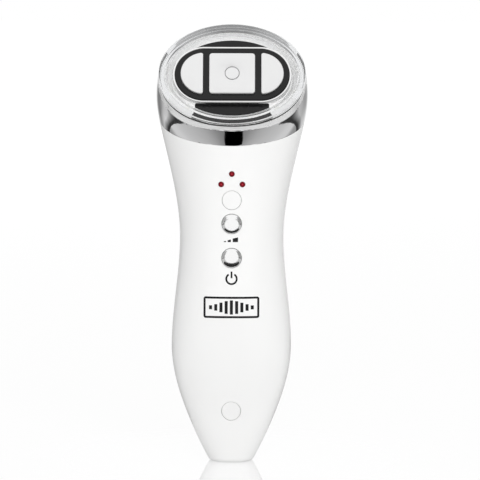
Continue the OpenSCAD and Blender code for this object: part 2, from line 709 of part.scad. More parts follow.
module light_board() {
  color("white") on_face(skirt_w) linear_extrude(light_board_t) difference() {
    oval_2d(light_a[1], light_d[1]);
    oval_2d(light_a[0], light_d[0]);
  }
}
module light_board_leds() {
  color("lightyellow") on_face(light_board_w)
    for (t = [-45:30:225])
      translate([(light_a[0] + light_a[1]) / 2 * cos(t), (light_d[0] + light_d[1]) / 2 * sin(t), 0.45])
        cube([2, 1.6, 0.9], center = true);
}
module head_screws() {
  color("silver") on_face() for (x = [-1, 1], v = [-1, 1])
    translate([x * head_boss_x, v * head_boss_v, skirt_w - ledge_t]) {
      translate([0, 0, -1.2]) cylinder(d = small_head, h = 1.2);
      cylinder(d = small_screw, h = ledge_t + 3.5);
    }
}

// ---- Controls ----
// Round cap in the front wall with a flange behind it: top is what stands above the skin
module cap(z, dia, top) {
  y = front_y(0, z);
  on_front(0, y, z) {
    translate([0, 0, -seat_depth - flange_t]) cylinder(d = dia, h = seat_depth + flange_t + top);
    translate([0, 0, -seat_depth - 0.02 - flange_t]) cylinder(r = dia / 2 + flange_w, h = flange_t);
  }
}
module button(z) {
  y = front_y(0, z);
  r = button_dia / 2;
  dome_r = (r * r + button_dome * button_dome) / (2 * button_dome);
  color("lightgray") union() {
    intersection() {
      cap(z, button_dia, button_rise + button_dome);
      on_front(0, y, z) translate([0, 0, button_rise + button_dome - dome_r]) sphere(dome_r);
    }
    on_front(0, plunger_y, z)
      cylinder(d = plunger_dia - 0.4, h = plunger_y - y - seat_depth);
  }
}
module level_button() { button(level_z); }
module power_button() { button(power_z); }
module plunger(z) {
  color("dimgray") on_front(0, board_front - switch_h + plunger_in, z)
    cylinder(d = plunger_dia, h = plunger_h + plunger_in);
}
module level_plunger() { plunger(level_z); }
module power_plunger() { plunger(power_z); }
module tact_switch(z) {
  color([0.15, 0.15, 0.16]) on_front(0, board_front, z) difference() {
    translate([-switch_w / 2, -switch_w / 2, 0]) cube([switch_w, switch_w, switch_h]);
    translate([0, 0, switch_h - plunger_in - travel - 0.3])
      cylinder(d = plunger_dia + 2 * running, h = switch_h);
  }
}
module level_switch() { tact_switch(level_z); }
module power_switch() { tact_switch(power_z); }
// Lens whose front follows the shell's curve, with a light pipe that ends at depth led_y
module lens(z, led_y) {
  y = front_y(0, z);
  sag = y - front_y(lens_dia / 2, z);
  curve_r = lens_dia * lens_dia / 8 / -sag;
  color("whitesmoke") union() {
    intersection() {
      cap(z, lens_dia, 0);
      translate([0, y + curve_r, z - lens_dia]) cylinder(r = curve_r, h = 2 * lens_dia, $fn = 256);
    }
    on_front(0, led_y - 0.3, z) cylinder(d = 3, h = led_y - 0.3 - y - seat_depth);
  }
}
module mode_lens() { lens(mode_z, mode_led_y); }
module charge_lens() { lens(charge_z, charge_led_y); }
module level_lamps() {
  color("darkred") for (p = lamps) {
    y = front_y(p[0], p[1]);
    on_front(p[0], board_front, p[1]) {
      cylinder(d = lamp_dia, h = board_front - y);
      cylinder(d = lamp_dia + 0.7, h = 1.2);
    }
    on_front(p[0], y, p[1]) intersection() {
      translate([0, 0, -1]) cylinder(d = lamp_dia, h = 3);
      translate([0, 0, 0.35 - lamp_dia]) sphere(lamp_dia);
    }
  }
}
module indicator_leds() {
  color("lightyellow") {
    translate([-indicator_w / 2, mode_led_y, mode_z - indicator_w / 2])
      cube([indicator_w, board_front - mode_led_y, indicator_w]);
    translate([-indicator_w / 2, charge_led_y, charge_z - indicator_w / 2])
      cube([indicator_w, charge_board_y - charge_led_y, indicator_w]);
  }
}

// ---- Electronics ----
module main_board() {
  color("darkgreen") difference() {
    translate([-board_w / 2, board_front, board_z0]) cube([board_w, board_t, board_z1 - board_z0]);
    for (p = board_posts) on_front(p[0], board_back + 1, p[1])
      cylinder(d = small_screw + 0.3, h = board_t + 2);
  }
}
// Chips, coil and capacitors on the front of the board: [x, height on the board, width, height, depth]
chips = [[-3.5, 7, 7, 7, 1.6], [6.5, 9, 6, 6, 3], [8, 21, 4, 9, 1.8], [-8.5, 21, 4, 6, 1.5],
  [-8.5, 35, 4, 8, 1.6], [8.5, 37, 3, 4, 1.2]];
module board_components() {
  color([0.12, 0.12, 0.12]) for (c = chips)
    translate([c[0] - c[2] / 2, board_front - c[4], board_z0 + c[1] - c[3] / 2]) cube([c[2], c[4], c[3]]);
}
module board_screws() {
  color("silver") for (p = board_posts) on_front(p[0], board_back, p[1]) {
    mirror([0, 0, 1]) cylinder(d = small_head, h = 1);
    cylinder(d = small_screw, h = board_t + 3);
  }
}
module battery_cell() {
  color("steelblue") translate([0, cell_y, cell_z]) cylinder(d = cell_dia, h = cell_h);
}
module battery_terminals() {
  color("silver") for (z = [cell_z - 0.3, cell_z + cell_h])
    translate([-2.5, cell_y - 2.5, z]) cube([5, 5, 0.3]);
}
module motor_can() {
  color("silver") translate([0, motor_y, motor_z]) difference() {
    cylinder(d = motor_dia, h = motor_h);
    translate([0, 0, 2]) cylinder(d = shaft_dia + 2 * running, h = motor_h);
  }
}
module motor_shaft() {
  color("gray") translate([0, motor_y, motor_z + 2.3])
    cylinder(d = shaft_dia, h = motor_h - 2.3 + 1.2 + weight_h);
}
module eccentric_weight() {
  color("dimgray") translate([0, motor_y, motor_z + motor_h + 1.2]) difference() {
    union() {
      cylinder(d = shaft_dia + 2, h = weight_h);
      intersection() {
        cylinder(r = weight_r, h = weight_h);
        translate([-through / 2, 0, 0]) cube([through, through, weight_h]);
      }
    }
    translate([0, 0, -1]) cylinder(d = shaft_dia, h = weight_h + 2);
  }
}
module charging_socket() {
  color("silver") translate([0, 0, 0.3]) difference() {
    linear_extrude(socket_h) stadium_2d(socket_w, socket_d);
    translate([0, 0, -1]) linear_extrude(socket_h) stadium_2d(socket_w - 0.6, socket_d - 0.6);
  }
}
module socket_tongue() {
  color("black") translate([-(socket_w - 2.4) / 2, -0.35, 1.2]) cube([socket_w - 2.4, 0.7, socket_h - 1.9]);
}
module charge_board() {
  color("darkgreen") translate([-5.5, charge_board_y, floor_t + 0.5])
    cube([11, charge_board_t, charge_board_z1 - floor_t - 0.5]);
}
module shell_screws() {
  color("silver") for (p = shell_screw_at) on_front(p[0], screw_floor, p[1]) {
    mirror([0, 0, 1]) difference() {
      cylinder(d = screw_head, h = 1.8);
      translate([0, 0, 0.9]) for (a = [0, 90]) rotate([0, 0, a])
        translate([-1.4, -0.3, 0]) cube([2.8, 0.6, 2]);
    }
    cylinder(d = screw_dia, h = screw_floor + screw_reach);
  }
}

// ---- Wires ----
module electrode_leads() {
  start = face_c + (top_w - seat_h - pin_reach - wire_r - 0.2) * face_n;
  pad = board_z1 - 5.5;
  color("red") for (s = [-1, 1])
    wire([[s * pin_x, start[1], start[2]], [s * pin_x, start[1] + 1, face_z - 12.3],
      [s * 12, -4, handle_h - 2.7], [s * 6, -4.8, pad + 10], [s * 5, board_back + wire_r + 0.1, pad]]);
  color("black")
    wire([face_c + (top_w - seat_h - disc_t - wire_r - 0.1) * face_n, [0, -4.5, face_z - 11.3],
      [0, -4, handle_h - 2.7], [0, -4.8, pad + 10], [0, board_back + wire_r + 0.1, pad]]);
}
module battery_leads() {
  y = board_back + wire_r + 0.1;
  top = cell_z + cell_h;
  color("red")
    wire([[0.8, cell_y - 1, top + 0.4 + wire_r], [-1.5, 0.5, top + 1.6],
      [-2.5, -3.5, top + 3], [-3, y, top + 8]]);
  color("black")
    wire([[-0.8, cell_y - 1, cell_z - 0.5 - wire_r], [3, -1.5, cell_z - 2.2],
      [5, -6.5, cell_z], [6, -8.4, cell_z + 9], [6.5, -8.6, mix(cell_z, board_z0, 0.64)],
      [6.5, -6.5, board_z0 - 3], [6.5, y + 0.5, board_z0 + 4], [6.5, y, board_z0 + 11]]);
}
module motor_leads() {
  y = board_back + wire_r + 0.1;
  color("blue") for (s = [-1, 1])
    wire([[s * 2, motor_y - 3, motor_z - wire_r - 0.3], [s * 5, 0, motor_z - 0.5],
      [s * 6, -3.5, motor_z + 5], [s * 6, y, motor_z + 10]]);
}
module light_leads() {
  hole = face_c + (skirt_w - wire_r / 2) * face_n;
  x = (lip_a + ledge_a) / 2;
  color("white")
    wire([[x, hole[1], hole[2]], [x - 0.2, hole[1] + 2.5, hole[2] - 1.6],
      [x - 1, hole[1] + 3, face_z - 12.3], [20, -1, handle_h - 2], [17.5, -3, handle_h - 12],
      [17, -4, board_z1 - 2.5], [11, -4.8, board_z1 - 11.5],
      [8.5, board_back + wire_r + 0.1, board_z1 - 16.5]]);
}

front_shell();
rear_shell();
chrome_collar();
light_ring();
face_insert();
electrode_bezel();
left_electrode();
centre_electrode();
right_electrode();
ultrasonic_probe();
ultrasonic_disc();
light_board();
light_board_leds();
head_screws();
main_board();
board_components();
board_screws();
level_switch();
power_switch();
level_button();
level_plunger();
power_button();
power_plunger();
level_lamps();
mode_lens();
charge_lens();
indicator_leds();
battery_cell();
battery_terminals();
motor_can();
motor_shaft();
eccentric_weight();
charging_socket();
socket_tongue();
charge_board();
shell_screws();
electrode_leads();
battery_leads();
motor_leads();
light_leads();
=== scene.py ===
# Looks of the hand-held facial toning device, in the CAD's own frame: +Z up the handle, -Y the
# front with the buttons and electrodes. Pieces are given in millimetres and scaled by MM, and
# the stage is in metres.
import json
from math import atan2, cos, hypot, pi, radians, sin, sqrt, tan

import bmesh
import bpy
from mathutils import Matrix, Vector


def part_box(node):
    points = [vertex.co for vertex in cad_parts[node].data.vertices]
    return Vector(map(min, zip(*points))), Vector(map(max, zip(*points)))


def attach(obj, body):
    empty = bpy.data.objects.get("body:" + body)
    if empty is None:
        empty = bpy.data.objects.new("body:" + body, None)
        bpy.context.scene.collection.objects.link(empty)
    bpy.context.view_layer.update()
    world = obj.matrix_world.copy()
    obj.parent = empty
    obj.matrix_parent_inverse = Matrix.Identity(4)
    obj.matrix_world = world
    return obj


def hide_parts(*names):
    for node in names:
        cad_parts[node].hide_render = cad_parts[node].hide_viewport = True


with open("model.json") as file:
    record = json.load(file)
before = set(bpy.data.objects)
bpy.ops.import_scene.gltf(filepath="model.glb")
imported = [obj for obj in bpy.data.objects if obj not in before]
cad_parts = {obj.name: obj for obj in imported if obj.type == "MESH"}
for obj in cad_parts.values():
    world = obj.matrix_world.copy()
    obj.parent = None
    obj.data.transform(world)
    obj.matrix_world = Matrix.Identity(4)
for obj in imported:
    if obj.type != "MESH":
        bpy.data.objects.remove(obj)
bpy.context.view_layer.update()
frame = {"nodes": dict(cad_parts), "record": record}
record = frame["record"]
MM = 0.001
AROUND = 256    # points round the head's ovals
ROWS = 170       # loft rows up the handle
COLS = 110       # loft columns round half of the handle


# ---- Nodes and materials ----
class Nodes:
    """Shorthand for building a node tree."""

    def __init__(self, tree):
        self.tree = tree
        tree.nodes.clear()

    def add(self, kind, inputs=None, **props):
        node = self.tree.nodes.new(kind)
        for key, value in props.items():
            setattr(node, key, value)
        for key, value in (inputs or {}).items():
            self.feed(node.inputs[key], value)
        return node

    def feed(self, socket, value):
        """Links a socket to another, or sets its value."""
        if isinstance(value, bpy.types.NodeSocket):
            self.tree.links.new(value, socket)
        else:
            socket.default_value = value

    def noise(self, coords, scale, detail=3.0, rough=0.5):
        return self.add("ShaderNodeTexNoise", {
            "Vector": coords, "Scale": scale, "Detail": detail, "Roughness": rough}).outputs["Fac"]

    def span(self, value, low, high, start=0.3, end=0.7):
        """Maps a value from the range start to end on to the range low to high."""
        return self.add("ShaderNodeMapRange", {
            "Value": value, "From Min": start, "From Max": end,
            "To Min": low, "To Max": high}).outputs["Result"]

    def tint(self, fac, first, second):
        node = self.add("ShaderNodeMix", data_type="RGBA")
        self.tree.links.new(fac, node.inputs["Factor"])
        node.inputs["A"].default_value = (*first, 1)
        node.inputs["B"].default_value = (*second, 1)
        return node.outputs["Result"]

    def maths(self, operation, *values):
        node = self.add("ShaderNodeMath", operation=operation)
        for socket, value in zip(node.inputs, values):
            self.feed(socket, value)
        return node.outputs[0]

    def mixed(self, share, first, second):
        """The second shader over the first, by share."""
        return self.add("ShaderNodeMixShader", {0: share, 1: first, 2: second}).outputs[0]

    def seen(self):
        """1 on what the camera sees, also by way of gloss or glass, and 0 on other light."""
        path = self.add("ShaderNodeLightPath").outputs
        either = self.maths("MAXIMUM", path["Is Camera Ray"], path["Is Glossy Ray"])
        return self.maths("MAXIMUM", either, path["Is Transmission Ray"])


WHITE = (1, 1, 1, 1)
MOTTLE_SCALE, PATCH_SCALE = 45.0, 260.0     # of the noise in the colour and in the gloss
GRAIN_STRENGTH = 0.6
DULL = {"Specular IOR Level": 0.15}         # for ink and lamps, which hardly shine
PAINTED_GLOW = 0.07                                 # painted glow: the unlit light board glows faintly to look brighter


def shade(color, amount):
    return tuple(max(0.0, min(1.0, c * amount)) for c in color[:3])


def new_material(name):
    mat = bpy.data.materials.new(name)
    mat.use_nodes = True
    return mat, Nodes(mat.node_tree)


def surface(name, color, rough, metallic=0.0, mottle=0.03, rough_span=0.06, grain=2500.0,
            grain_depth=0.00001, streak=None, **sockets):
    """Procedural finish: a faint mottle in the colour, patches in the gloss and a fine grain."""
    mat, n = new_material(name)
    coords = n.add("ShaderNodeTexCoord").outputs["Object"]
    if streak:
        coords = n.add("ShaderNodeMapping", {"Vector": coords, "Scale": streak}).outputs["Vector"]
    broad = n.noise(coords, MOTTLE_SCALE, 2.0)
    fine = n.noise(coords, grain, 4.0, 0.6)
    patch = n.noise(coords, PATCH_SCALE, 5.0, 0.65)
    bump = n.add("ShaderNodeBump", {
        "Height": fine, "Distance": grain_depth, "Strength": GRAIN_STRENGTH}).outputs["Normal"]
    bsdf = n.add("ShaderNodeBsdfPrincipled", {
        "Base Color": n.tint(broad, shade(color, 1 - mottle), shade(color, 1 + mottle)),
        "Metallic": metallic,
        "Roughness": n.span(patch, max(0.0, rough - rough_span / 2), rough + rough_span / 2),
        "Normal": bump, **sockets})
    n.add("ShaderNodeOutputMaterial", {"Surface": bsdf.outputs["BSDF"]})
    return mat


def clear_plastic():
    """Polished acrylic. Lamps shine through it, and its colour varies very slightly."""
    mat, n = new_material("clear_acrylic")
    coords = n.add("ShaderNodeTexCoord").outputs["Object"]
    haze = n.noise(coords, 60.0, 2.0)
    bsdf = n.add("ShaderNodeBsdfPrincipled", {
        "Base Color": n.tint(haze, (0.975, 0.98, 0.985), (0.99, 0.995, 0.995)),
        "Roughness": 0.0, "IOR": 1.49, "Transmission Weight": 1.0}).outputs["BSDF"]
    clear = n.add("ShaderNodeBsdfTransparent", {"Color": (0.96, 0.96, 0.96, 1)}).outputs[0]
    path = n.add("ShaderNodeLightPath").outputs
    passing = n.maths("MAXIMUM", path["Is Shadow Ray"], path["Is Diffuse Ray"])
    n.add("ShaderNodeOutputMaterial", {"Surface": n.mixed(passing, bsdf, clear)})
    return mat


MATERIALS = {
    "white_shell": surface("white_shell", (0.89, 0.89, 0.885), 0.26, mottle=0.004,
                           rough_span=0.012, grain=1400.0, grain_depth=0.000006, IOR=1.48),
    "chrome_plating": surface("chrome_plating", (0.86, 0.86, 0.865), 0.04, 1.0, mottle=0.01,
                              rough_span=0.02, grain_depth=0.000001),
    "clear_acrylic": clear_plastic(),
    "black_insert": surface("black_insert", (0.008, 0.008, 0.0085), 0.16, mottle=0.15,
                            rough_span=0.08, grain_depth=0.000006,
                            **{"Specular IOR Level": 0.3}),
    "bright_bezel": surface("bright_bezel", (0.9, 0.9, 0.9), 0.08, 1.0, mottle=0.02,
                            rough_span=0.04, grain_depth=0.000002),
    "electrode_metal": surface("electrode_metal", (0.86, 0.86, 0.86), 0.34, 1.0, mottle=0.02,
                               rough_span=0.08, grain=5200.0, grain_depth=0.00001),
    "piezo_ceramic": surface("piezo_ceramic", (0.72, 0.64, 0.5), 0.6, mottle=0.08),
    # The light board's faint emission is painted glow; the board is no lit lamp
    "light_board": surface("light_board", (0.92, 0.92, 0.92), 0.5, mottle=0.01,
                           **{"Emission Color": WHITE, "Emission Strength": PAINTED_GLOW}),
    "led_white": surface("led_white", (0.93, 0.93, 0.9), 0.3, mottle=0.03),
    "small_screws": surface("small_screws", (0.6, 0.6, 0.61), 0.3, 1.0, mottle=0.08,
                            streak=(1.0, 6.0, 1.0)),
    "circuit_board": surface("circuit_board", (0.03, 0.2, 0.07), 0.35, mottle=0.25),
    "black_components": surface("black_components", (0.03, 0.03, 0.034), 0.5, mottle=0.2),
    "chrome_button": surface("chrome_button", (0.93, 0.93, 0.93), 0.14, 1.0, mottle=0.01,
                             rough_span=0.04, grain_depth=0.000002),
    "switch_plunger": surface("switch_plunger", (0.08, 0.08, 0.08), 0.5, mottle=0.1),
    "red_lamp": surface("red_lamp", (0.17, 0.003, 0.01), 0.3, mottle=0.1, **DULL),
    "white_lens": surface("white_lens", (0.88, 0.88, 0.875), 0.3, mottle=0.02, grain=900.0,
                          grain_depth=0.00002),
    "cell_sleeve": surface("cell_sleeve", (0.06, 0.2, 0.5), 0.35, mottle=0.1),
    "plain_metal": surface("plain_metal", (0.72, 0.72, 0.72), 0.28, 1.0, mottle=0.06,
                           streak=(1.0, 1.0, 8.0)),
    "weight_metal": surface("weight_metal", (0.35, 0.35, 0.36), 0.45, 1.0, mottle=0.12),
    "wire_insulation": surface("wire_insulation", (0.6, 0.05, 0.05), 0.4, mottle=0.06)}
# Second finishes on parts of a piece
SATIN_LIP = surface("satin_edge", (0.9, 0.9, 0.9), 0.3, 0.5, mottle=0.01)
LAMP_CORE = surface("lamp_core", (0.45, 0.02, 0.035), 0.3, mottle=0.08, **DULL)
# Grey and black painted shade on the clear ring; the black is also the ink of the printed signs
PAINTED_SHADE_FADE = surface("painted_shade_fade", (0.25, 0.25, 0.25), 0.5, mottle=0.1)
INK_AND_PAINTED_SHADE = surface("print_ink_and_painted_shade", (0.014, 0.014, 0.015), 0.5, mottle=0.2, rough_span=0.15,
                grain=3000.0, **DULL)

for part in record["subparts"]:
    node = frame["nodes"][part["node"]]
    node.data.materials.clear()
    node.data.materials.append(MATERIALS[part["material_slot"]])


# ---- Meshes ----
CREASE = 32.0                     # degrees, above which an edge stays sharp


def add_object(name, data):
    ob = bpy.data.objects.new(name, data)
    bpy.context.scene.collection.objects.link(ob)
    return ob


def piece(name, verts, faces, slot, body="housing", stands_for=(), crease=CREASE, material=None):
    """A solid in millimetres, shaded smooth up to the crease angle."""
    mesh = bpy.data.meshes.new(name)
    mesh.from_pydata([tuple(c * MM for c in v) for v in verts], [], faces)
    bm = bmesh.new()
    bm.from_mesh(mesh)
    bmesh.ops.remove_doubles(bm, verts=bm.verts, dist=1e-8)
    bmesh.ops.recalc_face_normals(bm, faces=bm.faces)
    bm.to_mesh(mesh)
    bm.free()
    smooth(mesh, crease)
    mesh.materials.append(material or MATERIALS[slot])
    ob = add_object(name, mesh)
    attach(ob, body)
    if stands_for:
        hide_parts(*stands_for)
    return ob


def smooth(mesh, crease):
    """Shades smooth, with sharp edges above the crease angle."""
    mesh.polygons.foreach_set("use_smooth", [True] * len(mesh.polygons))
    mesh.set_sharp_from_angle(angle=radians(crease))


def join(*solids):
    """Points and faces of several solids as one."""
    verts, faces = [], []
    for v, f in solids:
        faces += [[i + len(verts) for i in face] for face in f]
        verts += v
    return verts, faces


def loft(loops, ring=False):
    """Skin through closed loops of equal length. A ring joins its ends; others are capped."""
    n = len(loops[0])
    verts = [p for loop in loops for p in loop]
    pairs = [(i, i + 1) for i in range(len(loops) - 1)] + ([(len(loops) - 1, 0)] if ring else [])
    faces = [(a * n + j, a * n + (j + 1) % n, b * n + (j + 1) % n, b * n + j)
             for a, b in pairs for j in range(n)]
    if not ring:
        for start in (0, (len(loops) - 1) * n):
            centre = [sum(verts[start + j][k] for j in range(n)) / n for k in range(3)]
            verts.append(centre)
            faces += [(start + j, start + (j + 1) % n, len(verts) - 1) for j in range(n)]
    return verts, faces


def turns(count):
    """Angles of evenly spaced points round a full turn."""
    return [2 * pi * k / count for k in range(count)]


def circle(centre, radius, sides):
    x, z = centre
    return [(x + radius * cos(t), z + radius * sin(t)) for t in turns(sides)]


def tube(centre, ends, radius, sides=96):
    """A cutter along Y between two ends."""
    return loft([[(x, y, z) for x, z in circle(centre, radius, sides)] for y in ends])


def cut(ob, cutter):
    """Takes the cutter's solids out of ob."""
    tool = piece("cutter", *cutter, "white_shell")
    mod = ob.modifiers.new("cut", "BOOLEAN")
    mod.operation = "DIFFERENCE"
    mod.solver = "EXACT"
    mod.object = tool
    deps = bpy.context.evaluated_depsgraph_get()
    mesh = bpy.data.meshes.new_from_object(ob.evaluated_get(deps))
    ob.modifiers.clear()
    old, ob.data = ob.data, mesh
    bpy.data.meshes.remove(old)
    bpy.data.objects.remove(tool)
    smooth(mesh, CREASE)


# ---- The grip's shape, as in the CAD: [height, value, rise] at each station ----
HANDLE_H, TOE_Z, BELLY_Z, WAIST_Z = 141.0, 22, 48, 92.5
SEAM_A, SEAM_D, SEAM_LEAN = 29.75, 23.3, 24.7    # half width, half depth and tilt at the collar
HALF_WIDTH = [[0, 8.8, 0.55], [TOE_Z, 18.9, 0.38], [BELLY_Z, 24.5, 0], [WAIST_Z, 21.2, 0],
              [HANDLE_H, SEAM_A, 0.2]]
FRONT = [[0, 8, 0.25], [BELLY_Z, 15.5, 0.07], [WAIST_Z, 16.5, 0.03], [HANDLE_H, SEAM_D, 0.25]]
BACK = [[0, 8, 0.55], [BELLY_Z, 19, 0], [WAIST_Z, 16.5, 0], [HANDLE_H, SEAM_D, 0.25]]
LEAN = [[0, 0, 0], [WAIST_Z, 0, 0], [HANDLE_H, SEAM_LEAN, 0.9]]
SQUARE = [[0, 2.6, 0], [WAIST_Z, 2.25, 0], [HANDLE_H, 2.0, 0]]
WALL, FLOOR_T = 2.0, 2.0
BASE_ROUND, BASE_SHARE = 1.5, 0.7                # rounding of the base: height, share inwards


def glide(z, stations):
    """Smooth value at height z between the stations."""
    i = 0
    while i < len(stations) - 2 and z >= stations[i + 1][0]:
        i += 1
    a, b = stations[i], stations[i + 1]
    gap = b[0] - a[0]
    t = (z - a[0]) / gap
    return (a[1] * (1 + 2 * t) * (1 - t) ** 2 + a[2] * gap * t * (1 - t) ** 2
            + b[1] * t * t * (3 - 2 * t) + b[2] * gap * t * t * (t - 1))


def power(v, n):
    """Power of a sine or cosine with its sign kept, for an oval of squareness n."""
    return (1 if v >= 0 else -1) * abs(v) ** (2 / n)


def mix(a, b, s):
    return a + (b - a) * s


def oval_point(t, a, d, n, tilt, cy, cz):
    """Point of an oval with half width a, half depth d and squareness n, tilted about X."""
    v = d * power(sin(t), n)
    return (a * power(cos(t), n), cy + v * cos(tilt), cz + v * sin(tilt))


def skin(z, t, inset=0.0):
    """Point of the handle's skin at angle t of the section whose middle is at height z."""
    depth = glide(z, FRONT if sin(t) < 0 else BACK)
    tilt = radians(glide(z, LEAN)) if z > WAIST_Z else 0.0
    return oval_point(t, glide(z, HALF_WIDTH) - inset, depth - inset, glide(z, SQUARE), tilt,
                      0.0, z)


def depth_at(x, z, depths):
    """Depth from the middle plane to the skin at x, in the section whose middle is at z."""
    n = glide(z, SQUARE)
    return glide(z, depths) * max(0.0, 1 - (abs(x) / glide(z, HALF_WIDTH)) ** n) ** (1 / n)


def front_section(z):
    """Middle height of the leaning section whose front lies at height z."""
    c = z
    for _ in range(8):
        if c <= WAIST_Z:
            return z
        c = z + glide(c, FRONT) * sin(radians(max(0.0, glide(c, LEAN))))
    return c


def front_y(x, z):
    """Y of the handle's front."""
    c = front_section(z)
    tilt = radians(glide(c, LEAN)) if c > WAIST_Z else 0.0
    return -depth_at(x, c, FRONT) * cos(tilt)


def centre_of(node):
    """Middle of a CAD node, in millimetres."""
    low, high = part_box(node)
    return [(a + b) / 2 / MM for a, b in zip(low, high)]


# ---- Handle shells ----
SOFT_EDGE = [(0.0, 0.16), (0.12, 0.05), (0.4, 0.0)]    # degrees from the parting line, inset
SOFT_TOP = [(0.08, 0.04), (0.0, 0.14)]                 # distance below the collar, inset
TOP_BAND, CROWDING = 0.25, 1.1                         # plain rows end here, denser at the base
BASE_ROWS, INNER_ROWS = 8, 40


def half_shell(side):
    """One shell with softened edges at the base, at the collar and along the parting line."""
    plain = SOFT_EDGE[-1][0]
    angles = [a for a, _ in SOFT_EDGE] \
        + [plain + (180 - 2 * plain) * j / COLS for j in range(1, COLS)] \
        + [180 - a for a, _ in reversed(SOFT_EDGE)]
    insets = [i for _, i in SOFT_EDGE] + [0.0] * (COLS - 1) + [i for _, i in reversed(SOFT_EDGE)]
    top = HANDLE_H - TOP_BAND - BASE_ROUND
    levels = []                   # height and inset of each row
    for k in range(BASE_ROWS):
        z = BASE_ROUND * (1 - cos(pi / 2 * k / BASE_ROWS))
        drop = 1 - sqrt(max(0.0, 1 - ((BASE_ROUND - z) / BASE_ROUND) ** 2))
        levels.append((z, BASE_ROUND * BASE_SHARE * drop))
    levels += [(BASE_ROUND + top * (i / ROWS) ** CROWDING, 0.0) for i in range(ROWS + 1)]
    levels += [(HANDLE_H - below, inset) for below, inset in SOFT_TOP]
    outer = [[skin(z, radians(side * a), inset + i) for a, i in zip(angles, insets)]
             for z, inset in levels]
    inner = [[skin(mix(FLOOR_T, HANDLE_H, i / INNER_ROWS), radians(side * a), WALL)
              for a in angles] for i in range(INNER_ROWS + 1)]
    # Outer skin, inner skin and the strip between them at the collar
    verts = [p for row in outer for p in row]
    n, m, q, k = len(angles), len(outer), len(inner), len(verts)
    verts += [p for row in inner for p in row]
    faces = [(i * n + j, i * n + j + 1, (i + 1) * n + j + 1, (i + 1) * n + j)
             for i in range(m - 1) for j in range(n - 1)]
    faces += [(k + i * n + j, k + (i + 1) * n + j, k + (i + 1) * n + j + 1, k + i * n + j + 1)
              for i in range(q - 1) for j in range(n - 1)]
    top_out, top_in = (m - 1) * n, k + (q - 1) * n
    faces += [(top_out + j, top_out + j + 1, top_in + j + 1, top_in + j) for j in range(n - 1)]
    # Faces of the parting line, and base and floor fanned from the middle of their straight edges
    low, high = len(verts), len(verts) + 1
    verts += [(0, 0, 0), (0, 0, FLOOR_T)]
    for j in (0, n - 1):
        faces.append([low] + [i * n + j for i in range(m)]
                     + [k + i * n + j for i in reversed(range(q))] + [high])
    faces += [(low, j + 1, j) for j in range(n - 1)]
    faces += [(high, k + j, k + j + 1) for j in range(n - 1)]
    return verts, faces


def stadium(w, d, inset=0.0, count=None):
    """Outline of an oblong with round ends, anticlockwise."""
    half = (count or AROUND) // 2
    r = d / 2 - inset
    straight = max(4, half // 4)
    bend = half - straight
    points = []
    for s in (1, -1):
        points += [(s * ((w - d) / 2 + r * cos(t)), s * r * sin(t))
                   for t in (pi * j / bend - pi / 2 for j in range(bend + 1))]
        points += [(s * (w - d) / 2 * (1 - 2 * j / straight), s * r) for j in range(1, straight)]
    return points


SOCKET_W, SOCKET_D, SOCKET_GAP = 9.0, 3.2, 0.3
socket_outline = stadium(SOCKET_W + SOCKET_GAP, SOCKET_D + SOCKET_GAP, count=64)
socket_cut = loft([[(x, y, z) for x, y in socket_outline] for z in (-2.0, FLOOR_T + 3.0)])
BUTTON_R, LENS_R, LAMP_R = 3.95, 3.85, 1.1
BUTTON_GAP, LENS_GAP, LAMP_GAP = 0.2, 0.13, 0.1
FINE_SIDES = 48                   # points round a lamp
buttons = {name: centre_of(name) for name in ("level_button", "power_button")}
lenses = {name: centre_of(name) for name in ("mode_lens", "charge_lens")}
lamp_low, lamp_high = ([c / MM for c in corner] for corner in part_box("level_lamps"))
LAMP_FLANGE = 1.45
lamp_x = lamp_high[0] - LAMP_FLANGE
lamps = [(-lamp_x, lamp_low[2] + LAMP_FLANGE), (0.0, lamp_high[2] - LAMP_FLANGE),
         (lamp_x, lamp_low[2] + LAMP_FLANGE)]
# Shell screws: x and z of each, and the levels and radii of their wells
SCREWS = [(-13, 30), (13, 30), (-12, 126), (12, 126)]
SCREW_FLOOR, SCREW_SEAT, WELL_R, WELL_OUT, SHANK_R = 5.0, 1.2, 2.6, 3.6, 1.6
WELL_SIDES = 64
CUT_FRONT, CUT_BACK = (-60, -3), (3, 60)

front = piece("front_shell_skin", *half_shell(-1), "white_shell", stands_for=("front_shell",))
cut(front, join(*[tube((0, c[2]), CUT_FRONT, BUTTON_R + BUTTON_GAP) for c in buttons.values()],
                *[tube((0, c[2]), CUT_FRONT, LENS_R + LENS_GAP) for c in lenses.values()],
                *[tube(p, CUT_FRONT, LAMP_R + LAMP_GAP, FINE_SIDES) for p in lamps], socket_cut))
rear = piece("rear_shell_skin", *half_shell(1), "white_shell", stands_for=("rear_shell",))
cut(rear, join(*[tube(p, CUT_BACK, WELL_R, WELL_SIDES) for p in SCREWS], socket_cut))


def well(p):
    """Recess of a shell screw, from the middle of the wall to the head's seat."""
    def loop(r, y=None):
        return [(x, y if y else depth_at(x, z, BACK) - WALL / 2, z)
                for x, z in circle(p, r, WELL_SIDES)]
    seat = SCREW_FLOOR - SCREW_SEAT
    return loft([loop(WELL_OUT), loop(WELL_OUT, seat), loop(SHANK_R, seat),
                 loop(SHANK_R, SCREW_FLOOR), loop(WELL_R, SCREW_FLOOR), loop(WELL_R)], ring=True)


piece("screw_wells", *join(*[well(p) for p in SCREWS]), "white_shell")

